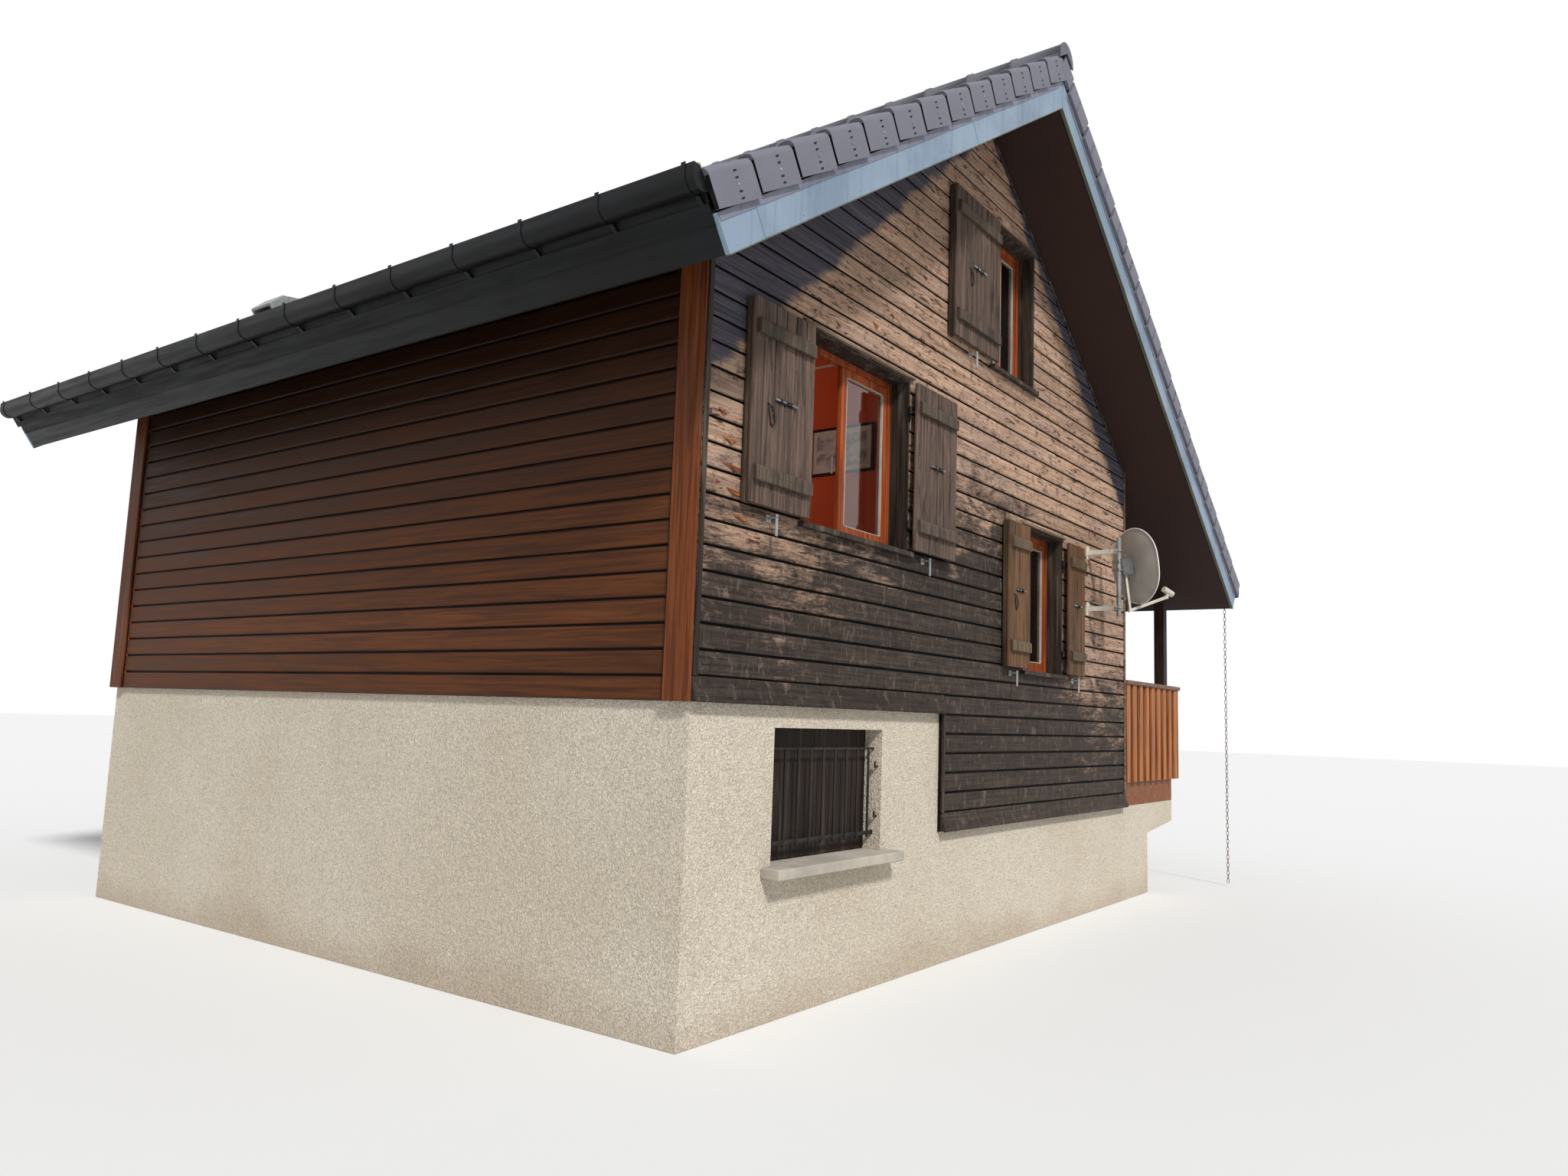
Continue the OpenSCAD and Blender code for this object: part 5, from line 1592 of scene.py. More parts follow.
@dataclass(frozen=True)
class Gutters:
    """Both gutters: round troughs with closed ends, their straps and the aprons over the fascias."""

    radius: float = 0.0625
    depth: float = 0.112
    sheet: float = 0.003
    back: float = -0.040
    strap: float = 0.0035
    strap_half: float = 0.012
    straps: int = 15
    strap_in: float = 0.060
    tail_share: float = 0.60
    fascia_y: float = 3.73
    fascia_h: float = 0.2311
    fascia_top: float = 0.318
    apron_low: float = 0.128
    left: Point = (-4.0284, 4.0022)
    right: Point = (5.2484, 3.2310)

    def place(self, slope: Slope, out: float, up: float, y: float) -> Vector:
        """A point of a gutter, by its distance out from the middle and its height over the outer lip."""
        x, z = self.left if slope is Slope.LEFT else self.right
        return Vector((x + slope.value * out, y, z + up))

    def arc(self, radius: float, first: float = 0.0, last: float = 180.0, steps: int = 18) -> list[Point]:
        """Points of the round, from its back under the trough to its front, by angles in degrees."""
        turns = [math.radians(first + (last - first) * k / steps) for k in range(steps + 1)]
        return [(-radius * math.cos(t), self.radius - self.depth - radius * math.sin(t)) for t in turns]

    def build(self) -> None:
        """Builds both gutters."""
        works = Works("gutter_troughs", GUTTER, APRON, smooth=35)
        for slope in Slope:
            self.trough(works, slope)
            self.carriers(works, slope)
            self.apron(works, slope)
        works.carry("eave_metal", "gutters")

    def trough(self, works: Works, slope: Slope) -> None:
        """A trough and its two end plates.

        Args:
            works: Where they go.
            slope: Which gutter.
        """
        r, inner, end_y = self.radius, self.radius - self.sheet, HOUSE.half_y

        def run(outline: Sequence[Point], ends: Numbers, tone: float) -> None:
            """Draws an outline along the gutter."""
            works.bar(outline, lambda a, b, y: self.place(slope, a, b, y), ends, 0, tone)

        run([(-r, self.back)] + self.arc(r) + [(r, 0.0), (inner, 0.0)] + self.arc(inner)[::-1]
            + [(-inner, self.back)], (self.sheet - end_y, end_y - self.sheet), 0.5)
        top = [(r, 0.0), (-0.0425, 0.0), (-0.0425, self.back), (-r, self.back)]
        if slope is Slope.LEFT:
            top = [(r, 0.0), (0.0196, 0.0), (0.0146, -0.0092), (-0.0144, -0.0507), (-0.0425, -0.0412),
                   (-r, -0.0412)]
        for sign in (-1, 1):
            run(self.arc(r) + top, sorted((sign * (end_y - self.sheet), sign * end_y)), 0.4)

    def carriers(self, works: Works, slope: Slope) -> None:
        """The straps round a trough, hooked over its lip, with their tails on the fascia.

        Args:
            works: Where they go.
            slope: Which gutter.
        """
        r, outer, length = self.radius, self.radius + self.strap, HOUSE.length(slope)
        hoop = (self.arc(outer) + [(outer, 0.010), (r - 0.003, 0.010), (r - 0.003, 0.0065), (r, 0.0065)]
                + self.arc(r)[::-1])
        first, last = (45.0, 60.0) if slope is Slope.LEFT else (0.0, 30.0)
        low, high = self.tail_share * self.fascia_h, self.fascia_h
        for i in range(self.straps):
            y = (HOUSE.half_y - self.strap_in) * (2 * i / (self.straps - 1) - 1)
            ends = (y - self.strap_half, y + self.strap_half)
            works.bar(hoop, lambda a, b, at: self.place(slope, a, b, at), ends, 0, 0.6)
            bend = [self.place(slope, a, b, y) for a, b in self.arc(r, first, last, 1)]
            tail = [HOUSE.on_roof(slope, length, low), HOUSE.on_roof(slope, length, high), *bend,
                    HOUSE.on_roof(slope, length + 0.004, high - 0.010),
                    HOUSE.on_roof(slope, length + 0.004, low)]
            works.sheet(tail, ends, 0, 0.5)

    def apron(self, works: Works, slope: Slope) -> None:
        """The sheet over the upper part of a fascia, with its folded lower edge, and the strip that closes
        the eave.

        Args:
            works: Where it goes.
            slope: Which eave.
        """
        foot, head, length = self.apron_low, self.fascia_h, HOUSE.length(slope)
        for near, far, low, high, tone in (
                (0.0, 0.006, foot, head, 0.45), (0.006, 0.0095, foot, foot + 0.006, 1.0),
                (-0.007, -0.003, head, self.fascia_top, 0.0)):
            works.sheet(HOUSE.strip(slope, length + near, length + far, low, high),
                        (-self.fascia_y, self.fascia_y), 1, tone)


@dataclass
class Leaf:
    """One board shutter in its own frame: X along the wall from the pins, Y inwards, Z up from its foot."""

    body: str
    opening: Opening
    right: bool
    width: float
    boards: int
    finish: Finish
    batten: Finish
    gable: Gable = Gable.FRONT
    pin_y: float = 3.176
    foot: float = 0.011
    height: float = 1.143
    face: float = -0.024
    thick: float = 0.027
    side: float = 0.008
    batten_in: float = 0.122
    batten_h: float = 0.085
    batten_end: float = 0.028
    joint: float = 0.0075
    gap: float = 0.0022
    knuckle: float = 0.0113
    bore: float = 0.00708
    knuckle_h: float = 0.040
    bolt_share: float = 0.53
    strap_z: Point = (0.160, -0.200)
    strap_l: float = 0.220
    screws_x: Numbers = (-0.20, -0.14, -0.06)

    def place(self, x: float, y: float, z: float) -> Vector:
        """A point of the leaf in the frame."""
        at = self.opening.end - x if self.right else self.opening.start + x
        return Vector((at, self.gable.value * (self.pin_y - y), self.opening.foot + self.foot + z))

    @property
    def outer(self) -> float:
        """Where the free edge is."""
        return -self.side - self.width

    @property
    def front(self) -> float:
        """The face that looks away from the wall when the leaf is open."""
        return self.face - self.thick

    @property
    def centre(self) -> Point:
        """The bolt's middle, along the leaf and over its foot."""
        return (self.outer + self.width * 0.5, self.height * self.bolt_share)

    def box(self, works: Works, low: Numbers, high: Numbers, slot: int = 0) -> None:
        """A box between two corners of the leaf's own frame."""
        works.bar(square(low, high), self.place, (low[2], high[2]), slot)

    def pin(self, works: Works, start: Numbers, end: Numbers, radius: float, sides: int = 8,
            slot: int = 0) -> None:
        """A round bar between two points of the leaf's own frame."""
        works.rod(self.place(*start), self.place(*end), radius, sides, slot)

    def wood(self, works: Works) -> None:
        """Boards with their V joints and painted shade at the joints' bottoms, the strip behind the free edge
        and the two battens.

        Args:
            works: Where they go.
        """
        pitch, front, back, v = self.width / self.boards, self.front, self.face, self.joint
        for i in range(self.boards):
            a, b = self.outer + i * pitch, self.outer + (i + 1) * pitch
            left, right = a + self.gap, b - self.gap
            works.bar([(left, front + v), (left + v * 0.7, front), (right - v * 0.7, front),
                       (right, front + v), (right, back - v), (b - v, back), (a + v, back),
                       (left, back - v)], self.place, (0.0, self.height))
            if i > 0:
                # painted shade: a dark bar at the bottom of each V joint
                self.box(works, (a - 0.003, front + 0.008, 0.001),
                         (a + 0.003, front + 0.012, self.height - 0.001), 3)
        self.box(works, (self.outer, back, 0.0), (self.outer + 0.060, back + 0.027, self.height), 2)
        proud = front - self.thick
        chamfer = [(front, 0.0), (proud + 0.004, 0.0), (proud, 0.005), (proud, 0.070),
                   (proud + 0.009, self.batten_h), (front, self.batten_h)]
        for z in (self.batten_in, self.height - self.batten_in - self.batten_h):
            works.bar(chamfer, lambda y, h, at: self.place(at, y, z + h),
                      (self.outer + self.batten_end, -self.side - self.batten_end), 1)

    def build(self) -> None:
        """Builds the leaf and its ironwork, which ride on the shutter's body."""
        boards = Works(self.body + "_boards", self.finish, self.batten, EDGE_STRIP, GAP_SHADE, bevel=0.0012)
        self.wood(boards)
        boards.carry("shutter_wood", self.body, body=self.body)
        fittings = Works(self.body + "_iron", IRON, ZINC, smooth=50)
        self.iron(fittings)
        fittings.carry("iron", body=self.body)

    def iron(self, works: Works) -> None:
        """Straps and knuckles on the wall side, slide bolt, screws and hook on the outer face.

        Args:
            works: Where the ironwork goes.
        """
        for z in (self.strap_z[0], self.height + self.strap_z[1]):
            for low, high in (((-self.strap_l, self.face, z + 0.005), (-0.005, self.face + 0.005, z + 0.035)),
                              ((-0.012, self.face, z + 0.005), (-0.005, -0.007, z + 0.035))):
                self.box(works, low, high)
            works.loft([[self.place(r * c, r * s, z + h) for c, s in circle(16)] for r, h in (
                (self.knuckle, 0.0), (self.knuckle, self.knuckle_h), (self.bore, self.knuckle_h),
                (self.bore, 0.0))], 0, 0.5, True)
            for x in self.screws_x:
                self.pin(works, (x, self.face + 0.004, z + 0.02), (x, self.face + 0.007, z + 0.02), 0.006)
        proud = self.front - self.thick
        for z in (self.batten_in + 0.042, self.height - self.batten_in - 0.043):
            for k in range(self.boards):
                x = self.outer + (k + 0.5) * self.width / self.boards
                if self.outer + 0.036 < x < -self.side - 0.036:
                    self.pin(works, (x, proud + 0.002, z), (x, proud - 0.0012, z), 0.0032, 6)
        self.bolt(works)
        if not self.right:
            self.hook(works)

    def bolt(self, works: Works) -> None:
        """The slide bolt at mid-height.

        Args:
            works: Where it goes.
        """
        front, (centre, middle) = self.front, self.centre
        half = min(0.075, self.width * 0.14)
        for x, wide, low, high, tall in (
                (centre, half, -0.004, 0.0, 0.013), (centre - half * 0.6, 0.009, -0.017, -0.004, 0.011),
                (centre + half * 0.6, 0.009, -0.017, -0.004, 0.011)):
            self.box(works, (x - wide, front + low, middle - tall), (x + wide, front + high, middle + tall))
        y, knob = front - 0.010, centre + half * 0.1
        self.pin(works, (centre - half - 0.02, y, middle), (centre + half + 0.035, y, middle), 0.0062, 10, 1)
        self.pin(works, (knob, y, middle), (knob, front - 0.031, middle - 0.006), 0.0058)

    def hook(self, works: Works) -> None:
        """The bent wire that hangs below the bolt.

        Args:
            works: Where it goes.
        """
        front, (centre, middle) = self.front, self.centre
        first = centre - min(0.15, self.width * 0.26)
        bends = [(first + x, middle + z) for x, z in (
            (-0.005, -0.040), (0.028, -0.050), (0.052, -0.085), (0.058, -0.130), (0.036, -0.158),
            (0.022, -0.150), (0.010, -0.105), (0.0, -0.060))]
        works.tube([self.place(x, front - 0.006, z) for x, z in bends], 0.0036, 6, 0, 0.5)
        for x, z in (bends[0], bends[-3]):
            self.pin(works, (x, front, z), (x, front - 0.010, z), 0.005)


@dataclass
class Shutters:
    """The leaves of both gables and the holders on the walls."""

    holders_at: Sequence[tuple[float, Opening]] = (
        (-2.675, BIG), (-0.903, BIG), (-0.225, ATTIC), (0.549, SMALL), (1.860, SMALL))
    arm_out: float = 0.066

    @staticmethod
    def leaves(gable: Gable) -> list[Leaf]:
        """The five leaves of one gable.

        Args:
            gable: The gable.

        Returns:
            The leaves, in the order in which they are built.
        """
        return [Leaf(name, *sizes, gable) for name, *sizes in (
            ("big_shutter_left", BIG, False, 0.591, 6, SHUTTER, BATTEN),
            ("big_shutter_right", BIG, True, 0.591, 6, SHUTTER, BATTEN),
            ("attic_shutter", ATTIC, False, 0.759, 9, SHUTTER, BATTEN),
            ("small_shutter_left", SMALL, False, 0.410, 4, SMALL_SHUTTER, SMALL_BATTEN),
            ("small_shutter_right", SMALL, True, 0.379, 4, SMALL_SHUTTER, SMALL_BATTEN))]

    def build(self) -> None:
        """Builds the turning leaves, the fixed ones at the rear, and the holders."""
        for leaf in self.leaves(Gable.FRONT):
            leaf.build()
        wood = Works("rear_shutter_boards", SHUTTER, BATTEN, EDGE_STRIP, GAP_SHADE, bevel=0.0012)
        iron = Works("rear_shutter_iron", IRON, ZINC, smooth=50)
        for leaf in self.leaves(Gable.REAR):
            leaf.wood(wood)
            leaf.iron(iron)
        wood.carry("shutter_wood", "rear_shutters")
        iron.carry("iron")
        self.holders()

    def holders(self) -> None:
        """Galvanised holders on the wall under each open leaf."""
        works = Works("shutter_holders", ZINC, bevel=0.0012)
        for gable in Gable:
            near, far = (gable.value * (HOUSE.wall_y + out) for out in (0.004, self.arm_out))
            for x, opening in self.holders_at:
                z = opening.cut[2]
                works.plate(gable, (x - 0.022, 0, z - 0.034), (x + 0.022, 0.006, z + 0.008))
                works.rod((x, near, z - 0.012), (x, far, z - 0.012), 0.0065, 10)
                works.plate(gable, (x - 0.010, 0.058, z - 0.115), (x + 0.010, self.arm_out, z + 0.006))
        works.carry("zinc")


@dataclass
class Windows:
    """Frames with eased edges, handles, glazing lines, hinge plates and the picture inside."""

    frame_w: float = 0.04
    sash_w: float = 0.055
    bead: float = 0.006
    sash_out: float = -0.143
    sill_out: float = -0.134
    board: float = 0.003
    wall_x: float = -0.71
    picture_yz: Numbers = (-2.64, 3.455, -2.08, 3.815)
    moulding: float = 0.018
    hinges: Sequence[Point] = ((0.13, 0.05), (0.90, 0.09), (1.10, 0.035))

    def build(self) -> None:
        """Builds the windows."""
        eased("window_frames", "window_wood", WINDOW, bevel=0.004)
        eased("window_sashes", "window_wood", WINDOW, bevel=0.004)
        eased("window_linings", "window_wood", REVEAL, TRIM, bevel=0.002,
              choose=lambda low, high: int(max(abs(low.y), abs(high.y)) > 3.165 and high.z - low.z < 0.06))
        works = Works("window_fittings", ZINC, SILL, bevel=0.0006)
        for gable, opening in EACH_WINDOW:
            self.glazing(works, opening, gable)
        works.carry("zinc")
        self.inner_sills()
        self.reveals()
        self.picture()

    def reveals(self) -> None:
        """Thin dark boards over the cut edges of the cladding, beside and over each window."""
        works = Works("reveal_boards", REVEAL)
        for gable, opening in EACH_WINDOW:
            a, b, top = opening.start + 0.0005, opening.end - 0.0005, opening.head - self.board
            for x0, x1 in ((a, opening.start + self.board), (opening.end - self.board, b)):
                works.plate(gable, (x0, self.sill_out, opening.foot + 0.001), (x1, 0.001, top))
            works.plate(gable, (a, self.sill_out, top), (b, 0.001, opening.head - 0.0005))
        works.carry("window_wood")

    def glazing(self, works: Works, opening: Opening, gable: Gable) -> None:
        """Pale glazing lines, a lever handle and hinge plates on one window.

        Args:
            works: Where they go.
            opening: The window.
            gable: Its gable.
        """
        width, bead, out = opening.width / 2 - self.frame_w, self.bead, self.sash_out
        z0, z1 = (z + s * (self.frame_w + self.sash_w) for z, s in ((opening.foot, 1), (opening.head, -1)))
        for i in range(2):
            if opening is BIG and gable is Gable.FRONT and i == 0:
                continue
            x0 = opening.start + self.frame_w + i * width + self.sash_w
            x1 = x0 + width - 2 * self.sash_w
            for a, b, c, d in ((x0, z0, x1, z0 + bead), (x0, z1 - bead, x1, z1), (x0, z0, x0 + bead, z1),
                               (x1 - bead, z0, x1, z1)):
                works.plate(gable, (a, out - 0.017, b), (c, out, d), 1, 0.5)
        x, centre = opening.start + self.frame_w + width + 0.028, opening.foot + opening.height * 0.47
        works.plate(gable, (x - 0.011, out - 0.05, centre - 0.06),
                    (x + 0.011, out - 0.04, centre + 0.06), 0, 0.5)
        for ends in (((0.045, 0.0), (0.085, 0.0)), ((0.082, 0.0), (0.082, 0.11))):
            points = [(x, gable.value * (HOUSE.wall_y + out - y), centre - down) for y, down in ends]
            works.rod(*points, 0.006, 8)
        for z, high in self.hinges:
            works.plate(gable, (opening.end - 0.0016, -0.026, opening.foot + z),
                        (opening.end + 0.002, -0.002, opening.foot + z + high), 1, 0.7)

    def inner_sills(self) -> None:
        """Two-step pale boards on the sills inside the reveals."""
        works = Works("inner_sills", TRIM, bevel=0.0008)
        for gable, opening in EACH_WINDOW:
            for inset, deep, z in ((0.004, 0.010, 0.0), (0.010, 0.024, 0.010)):
                works.plate(gable, (opening.start + inset, self.sill_out, opening.foot + z + 0.001),
                            (opening.end - inset, self.sill_out + deep, opening.foot + z + 0.010))
        works.carry("window_wood")

    def picture(self) -> None:
        """A framed bare print and a pale moulding on the room's far wall."""
        works = Works("room_picture", IRON, SILL, PRINT)
        wide = self.moulding
        y0, z0, y1, z1 = self.picture_yz
        a, b, c, d = y0 + wide, z0 + wide, y1 - wide, z1 - wide
        for far, near, slot, (ya, za, yb, zb) in (
                (0.022, 0.001, 0, (y0, z0, y1, b)), (0.022, 0.001, 0, (y0, d, y1, z1)),
                (0.022, 0.001, 0, (y0, b, a, d)), (0.022, 0.001, 0, (c, b, y1, d)),
                (0.010, 0.001, 1, (a, b, c, d)),
                (0.011, 0.010, 2, (y0 + 0.06, z0 + 0.055, y1 - 0.06, z1 - 0.055)),
                (0.012, 0.001, 1, (-2.90, 4.300, -0.30, 4.318))):
            works.block((self.wall_x - far, ya, za), (self.wall_x - near, yb, zb), slot)
        works.carry("interior")


@dataclass
class Balcony:
    """Balusters in two layers, and the deck's boards and joists, laid by rows."""

    rows: Rows
    deck_z: float = 1.12
    rail_z: float = 2.077
    width: float = 0.100
    thick: float = 0.022
    spacing: float = 0.190
    lap: float = 0.005
    eased: float = 0.003
    outer_x: float = 4.991
    start_x: float = 3.29
    end_x: float = 4.945
    reach_y: float = 3.174
    deck_boards: int = 11
    joists: int = 7
    deck_t: float = 0.030
    joist: Point = (0.080, 0.1595)

    def shape(self, width: float, finish: Finish) -> Works:
        """One baluster board, its foot's outer corner at the origin.

        Args:
            width: The board's width.
            finish: Its finish.

        Returns:
            The shape.
        """
        works = Works("baluster_shape", finish)
        c = self.eased
        outline = [(c, 0), (width - c, 0), (width, c), (width, self.thick), (0, self.thick), (0, c)]
        works.bar(outline, lambda a, b, at: Vector((a, b, at)),
                  (0, self.rail_z - self.deck_z - 0.001), 0, 0.5)
        return works

    def build(self) -> None:
        """Builds the three panels, the deck and the posts."""
        meshes = []
        for x, side, along, length in ((self.start_x, 1, Vector((1, 0, 0)), self.end_x - self.start_x),
                                       (self.start_x, -1, Vector((1, 0, 0)), self.end_x - self.start_x),
                                       (self.outer_x, 1, Vector((0, 1, 0)), 2 * self.reach_y)):
            start = Vector((x, -side * self.reach_y, self.deck_z))
            count = int((length - self.width) / self.spacing)
            pitch = (length - self.width) / count
            inward = Vector((0, side * self.thick, 0)) if along.x else Vector((-self.thick, 0, 0))
            behind = inward * 1.02 + along * (self.width - self.lap)
            # the back layer takes the darker baluster wood, which is painted shade
            for shape, shift, total in (
                    (self.shape(self.width, BALUSTER), Vector(), count + 1),
                    (self.shape(pitch - self.width + 2 * self.lap, BALUSTER_IN_SHADE), behind, count)):
                meshes.append(self.rows.lay(shape, side < 0, columns=total, seed=total, start=start + shift,
                                            column_step=along * pitch, turn=(0, 0, math.pi / 2 * along.y)))
        carried(joined("baluster_boards", meshes), "planks", "balustrade")
        self.deck()
        eased("balcony_rim", "dark_wood", RIM_WOOD, bevel=0.003)
        eased("balcony_posts", "dark_wood", DARK_WOOD, bevel=0.006)
        eased("handrail", "dark_wood", RAIL_WOOD, bevel=0.006)

    def deck(self) -> None:
        """Deck boards with gaps between them, on their joists."""
        low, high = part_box("balcony_deck")
        size = high - low
        wide, deep = self.joist
        pitch = (size.x - 0.002) / self.deck_boards
        board = Works("deck_board_shape", DECK_WOOD, bevel=0.002)
        board.block((0.0, 0.0, 0.0), (pitch - 0.006, size.y - 0.002, self.deck_t), 0, 0.5)
        joist = Works("deck_joist_shape", RAW_WOOD, bevel=0.002)
        joist.block((0.0, 0.0, 0.0), (size.x, wide, deep), 0, 0.5)
        meshes = [self.rows.lay(board, columns=self.deck_boards, seed=5, column_step=(pitch, 0, 0),
                                start=(low.x + 0.004, low.y + 0.001, high.z - self.deck_t)),
                  self.rows.lay(joist, columns=self.joists, seed=6, start=tuple(low),
                                column_step=(0, (size.y - wide) / (self.joists - 1), 0))]
        carried(joined("deck_boards_and_joists", meshes), "planks", "balcony_deck")


@dataclass
class Chain:
    """The rain chain: oval wire links, each turned a quarter from the last."""

    rows: Rows
    wire: float = 0.006
    width: float = 0.028
    inner: float = 0.042
    pitch: float = 0.0417
    bend_steps: int = 6

    def build(self) -> None:
        """Builds the chain in place of its CAD node."""
        low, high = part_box("rain_chain")
        half = (self.width - self.wire) / 2
        straight = (self.inner + self.wire) / 2 - half
        turns = [(end, math.pi * (k / self.bend_steps + (end < 0))) for end in (1, -1)
                 for k in range(self.bend_steps + 1)]
        works = Works("chain_link_shape", CHAIN_IRON, smooth=60)
        path = [Vector((half * math.cos(t), 0.0, half * math.sin(t) + end * straight)) for end, t in turns]
        works.tube(path, self.wire / 2, 6, 0, 0.5, True)
        mesh = self.rows.lay(works, columns=int((high.z - low.z - self.wire) / self.pitch), seed=8,
                             start=((low.x + high.x) / 2, (low.y + high.y) / 2,
                                    high.z - self.inner / 2 - self.wire),
                             column_step=(0, 0, -self.pitch), column_turn=(0, 0, math.pi / 2))
        carried(joined("rain_chain_links", [mesh], 60), "iron", "rain_chain")


@dataclass
class Dish:
    """The dish with its rolled rim and ribs, its clamp, and the U-bolts on the pole."""

    pole_x: float = 2.240
    pole_y: float = -3.450
    pole_z: float = 3.100
    turn: float = math.radians(-33)
    forward: float = 0.128
    tilt: float = math.radians(-8)
    radius: float = 0.9909
    wide: float = 0.315
    stretch: float = 0.030
    rim: float = 0.0058
    steps: int = 64
    shares: Numbers = (0.02, 0.14, 0.17, 0.20, 0.35, 0.5, 0.65, 0.8, 0.92, 0.975, 1.0)
    rib: float = 0.17
    rib_h: float = 0.0022
    skin: float = 0.0025
    clamp_z: Point = (-0.045, 0.030)
    clamp_half: float = 0.09
    pole_r: float = 0.034
    joint_x: float = 0.135
    joint_z: Point = (-0.385, -0.03)
    arms_z: Point = (3.228, 2.714)
    lugs: Sequence[Point] = ((-0.06, 0.10), (0.06, 0.10), (-0.05, -0.11), (0.05, -0.11))

    @property
    def pole(self) -> Matrix:
        """The pole's own frame: X towards the bowl from the middle of its clamp."""
        middle = (self.pole_x, self.pole_y, self.pole_z)
        return Matrix.Translation(middle) @ Matrix.Rotation(self.turn, 4, "Z")

    @property
    def whole(self) -> Matrix:
        """The bowl's own frame: X along its axis from the back of its middle."""
        return self.pole @ Matrix.Translation((self.forward, 0, 0)) @ Matrix.Rotation(self.tilt, 4, "Y")

    def depth(self, y: float, z: float) -> float:
        """How far the bowl's back curves forward at one place."""
        return self.radius - math.sqrt(self.radius ** 2 - y * y - z * z)

    def ring(self, share: float, lift: float) -> list[Vector]:
        """Points round the bowl.

        Args:
            share: How far out they lie, from 0 at the middle to 1 at the rim.
            lift: How far in front of the bowl's back.

        Returns:
            The points in the frame.
        """
        points = []
        for c, s in circle(self.steps):
            y = self.wide * c * share
            z = (self.wide * s + math.copysign(self.stretch, s) * min(1, abs(s) * 4)) * share
            points.append(self.whole @ Vector((self.depth(y, z) + lift, y, z)))
        return points

    def bowl(self) -> None:
        """The pressed bowl, its rim and the small crease round its middle."""
        works = Works("dish_bowl", DISH_SKIN, DISH_RIM, smooth=50)
        lifts = [(share, self.rib_h if share == self.rib else 0.0) for share in self.shares]
        works.loft([self.ring(share, lift) for share, lift in lifts]
                   + [self.ring(share, lift + self.skin) for share, lift in reversed(lifts)], 0, 0.5)
        works.tube(self.ring(0.989, 0.0005), self.rim, 8, 1, 0.5, True)
        works.carry("dish_metal", "dish")

    def build(self) -> None:
        """Builds the dish and what holds it."""
        self.bowl()
        mount = eased("dish_mount", "zinc", PAINTED_ARM, ZINC, OLD_ZINC, bevel=0.0015, smooth=35)
        for face in mount.data.polygons:
            x, y, z = face.center - self.pole.translation
            off = math.hypot(x, y)
            if abs(z) < self.clamp_half and (off > self.pole_r or y < -0.03):
                face.material_index = 2
            elif off < self.pole_r:
                face.material_index = 1
        arm = eased("dish_arm", "zinc", PAINTED_ARM, ZINC, bevel=0.0015, smooth=35)
        back = self.pole.inverted()
        for face in arm.data.polygons:
            at = back @ face.center
            if at.x < self.joint_x and self.joint_z[0] < at.z < self.joint_z[1]:
                face.material_index = 1
        self.bolts()

    @staticmethod
    def clip(works: Works, place: Callable[[float, float], Vector], radius: float, legs: float,
             nuts: Point, first: int) -> None:
        """A U-bolt with a nut on each leg.

        Args:
            works: Where it goes.
            place: Gives a point from its distances along the legs and across them.
            radius: The bend's radius, and half the distance between the legs.
            legs: Where the legs end.
            nuts: Where the nuts start and end.
            first: The side of the first nut, as a sign.
        """
        bend = [math.pi / 2 + math.pi * k / 10 for k in range(11)]
        path = [place(radius * math.cos(t) - 0.004, radius * math.sin(t)) for t in bend]
        works.tube([place(legs, radius), *path, place(legs, -radius)], 0.004, 8)
        for across in (first * radius, -first * radius):
            works.rod(place(nuts[0], across), place(nuts[1], across), 0.0085, 6)

    def bolts(self) -> None:
        """U-bolts of the clamp and of both wall arms, with nuts, and the lugs on the bowl's back."""
        works = Works("dish_bolts", ZINC, smooth=40)
        pole, whole = self.pole, self.whole
        for z in self.clamp_z:
            self.clip(works, lambda a, b: pole @ Vector((a, b, z)), 0.030, 0.060, (0.004, 0.013), -1)
            works.loft([[pole @ Vector((x, y, z + h)) for y, h in square((-0.05, -0.013), (0.05, 0.013))]
                        for x in (-0.034, -0.038)])
        for z in self.arms_z:
            self.clip(works, lambda a, b: Vector((self.pole_x - b, self.pole_y + a, z)), 0.026, 0.034,
                      (0.020, 0.030), 1)
        for y, z in self.lugs:
            works.rod(*(whole @ Vector((self.depth(y, z) + d, y, z)) for d in (0.0028, -0.018)), 0.007, 8)
        works.carry("zinc")


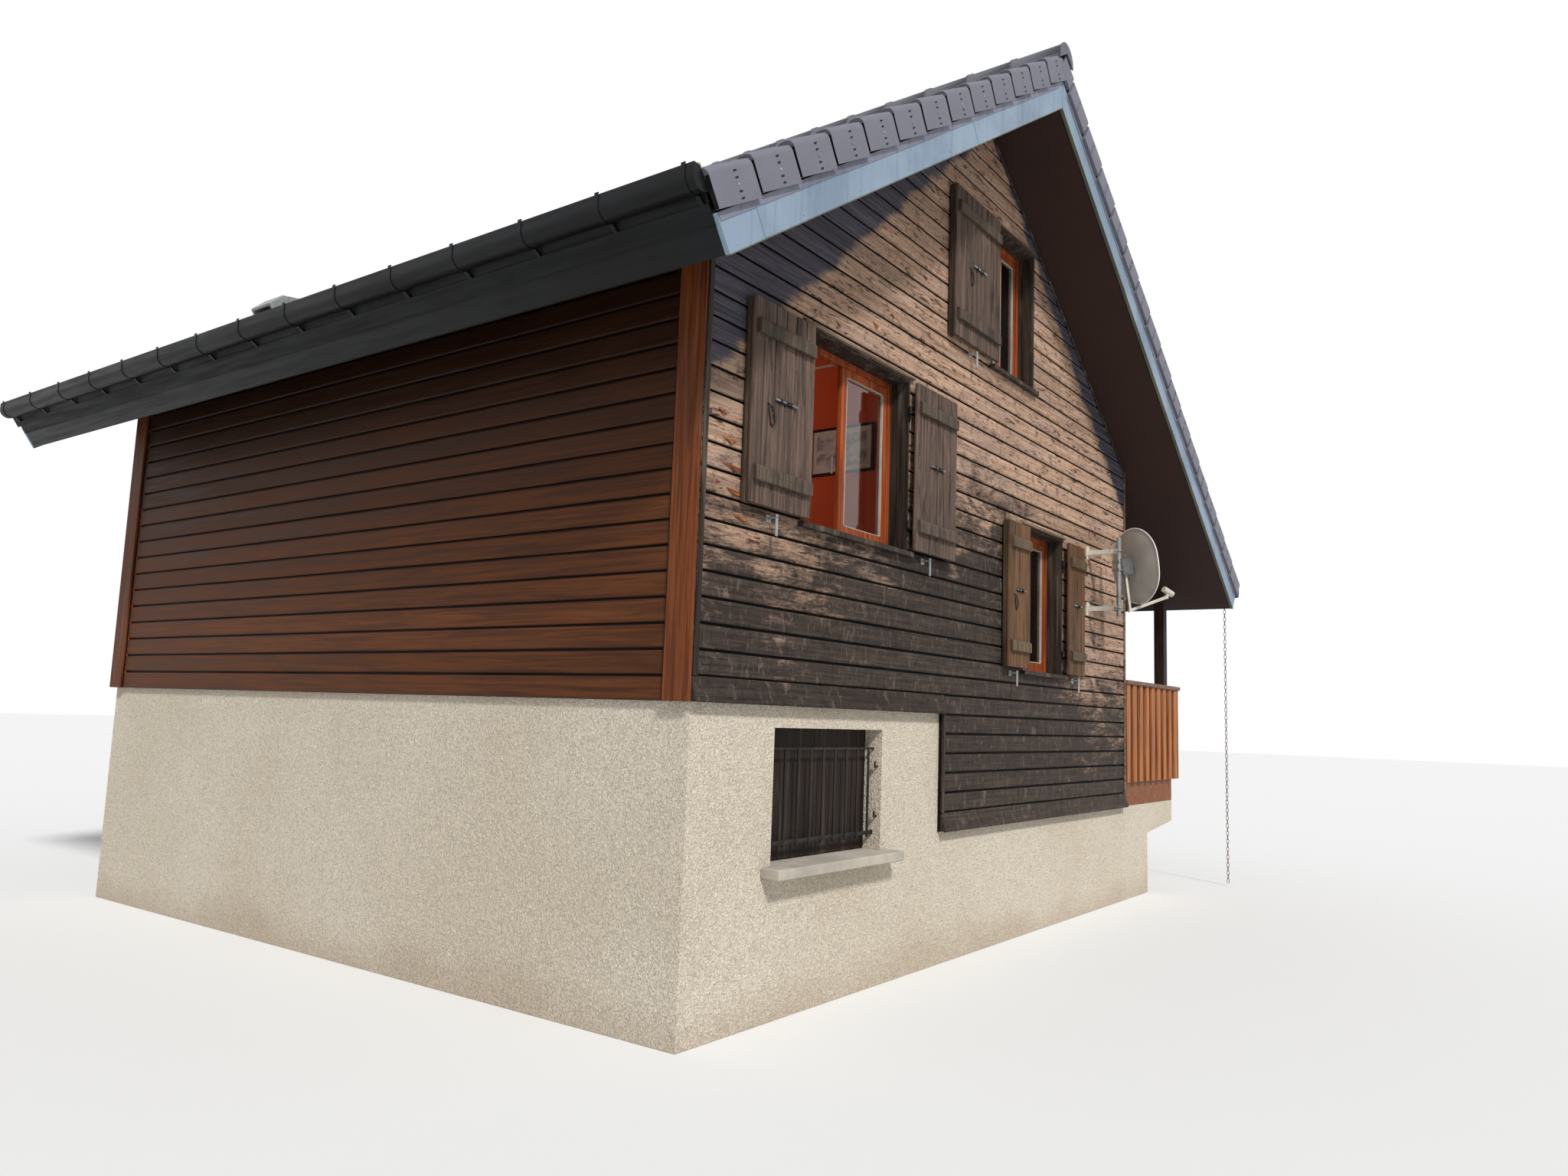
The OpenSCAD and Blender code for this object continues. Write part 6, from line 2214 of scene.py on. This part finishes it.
@dataclass
class Studio:
    """Floor, light and the camera at the photograph's place."""

    eye: Numbers = (-7.458, -6.741, 1.634)
    yaw: float = math.radians(54.164)
    tip: float = math.radians(6.745)
    roll: float = math.radians(1.936)
    lens: float = 25.197
    sensor: float = 36.0
    far: float = 400.0
    floor: float = 90.0
    floor_z: Point = (-0.05, -0.002)
    glow: float = 0.46
    sun_way: Numbers = (0.42, 0.72, -0.78)
    sun_power: float = 2.85
    sun_size: float = math.radians(7)
    lamp_at: Numbers = (-1.9, -0.9, 3.6)
    lamp_power: float = 46.0
    lamp_size: float = 0.25
    lamp_colour: Numbers = (1.0, 0.86, 0.74)

    def camera(self) -> None:
        """Places the camera."""
        ahead = Vector((math.sin(self.yaw) * math.cos(self.tip), math.cos(self.yaw) * math.cos(self.tip),
                        math.sin(self.tip)))
        level = Vector((math.cos(self.yaw), -math.sin(self.yaw), 0))
        upright = level.cross(ahead)
        right = level * math.cos(self.roll) + upright * math.sin(self.roll)
        up = upright * math.cos(self.roll) - level * math.sin(self.roll)
        data = bpy.data.cameras.new("camera")
        data.lens, data.sensor_width, data.sensor_fit = self.lens, self.sensor, "HORIZONTAL"
        data.clip_end = self.far
        turned = Matrix((right, up, -ahead)).transposed().to_4x4()
        turned.translation = Vector(self.eye)
        camera = placed("camera", data)
        camera.matrix_world = turned
        bpy.context.scene.camera = camera

    def stage(self) -> None:
        """A large pale floor under the base."""
        works = Works("floor", Plain("floor_paper"))
        low, high = self.floor_z
        works.block((-self.floor, -self.floor, low), (self.floor, self.floor, high))
        works.piece()

    def world(self) -> None:
        """A pale room round the house: white to the camera, in glass and in metal, softer as light."""
        world = bpy.data.worlds.new("studio")
        bpy.context.scene.world = world
        world.use_nodes = True
        tree = world.node_tree
        tree.nodes.clear()
        rays = wired(tree, "ShaderNodeLightPath").outputs
        share = rays["Is Camera Ray"]
        for other in ("Is Transmission Ray", "Is Glossy Ray"):
            share = wired(tree, "ShaderNodeMath", {0: share, 1: rays[other]}, operation="MAXIMUM").outputs[0]
        glow, seen = (
            wired(tree, "ShaderNodeBackground", {"Color": colour, "Strength": strength}).outputs[0]
            for colour, strength in (((0.97, 0.98, 1.0, 1.0), self.glow), ((1.0, 1.0, 1.0, 1.0), 1.0)))
        mixed = wired(tree, "ShaderNodeMixShader", {0: share, 1: glow, 2: seen}).outputs[0]
        wired(tree, "ShaderNodeOutputWorld", {0: mixed})

    def lamps(self) -> None:
        """One soft sun from the front and the left, and a warm lamp in the uphill room."""
        sun = bpy.data.lights.new("sun", "SUN")
        sun.energy, sun.angle = self.sun_power, self.sun_size
        placed("sun", sun).rotation_euler = Vector(self.sun_way).to_track_quat("-Z", "Y").to_euler()
        room = bpy.data.lights.new("room_lamp", "POINT")
        room.energy, room.shadow_soft_size, room.color = self.lamp_power, self.lamp_size, self.lamp_colour
        lamp = placed("room_lamp", room)
        lamp.location = self.lamp_at
        lamp.visible_camera = lamp.visible_glossy = lamp.visible_transmission = False

    def build(self) -> None:
        """Sets the studio up."""
        self.camera()
        self.stage()
        self.world()
        self.lamps()
        bpy.context.scene.view_settings.view_transform = "Standard"


NODE_FINISHES: dict[str, Finish] = {
    "front_base_wall": RENDER, "rear_base_wall": RENDER, "left_base_wall": RENDER, "right_base_wall": RENDER,
    "middle_base_wall": CONCRETE, "cellar_floor": CONCRETE, "uphill_slab": CONCRETE, "balcony_slab": RENDER,
    "attic_floor": DECK_WOOD, "partition_wall": INTERIOR, "ridge_beam": RAW_WOOD, "roof_panels": PANEL,
    "ceiling_lining": CEILING, "soffits": SOFFIT, "verge_boards": VERGE, "fascias": GUTTER,
    "window_glass": GLASS, "shutter_hooks": IRON}


def dress(nodes: dict[str, Thing]) -> None:
    """Gives each CAD node that still shows its finish.

    Args:
        nodes: The frame's nodes by name.
    """
    for name, finish in NODE_FINISHES.items():
        mesh = nodes[name].data
        mesh.materials.clear()
        mesh.materials.append(finish.material())


def main() -> None:
    """Builds the chalet's pieces in order."""
    logging.basicConfig(level=logging.INFO, format="%(message)s")
    dress(frame["nodes"])
    rows = Rows()
    for part in (Walls(), Roof(rows), Gutters(), Windows(), Shutters(), Balcony(rows), Chain(rows), Dish(),
                 Studio()):
        part.build()


if __name__ == "__main__":
    main()
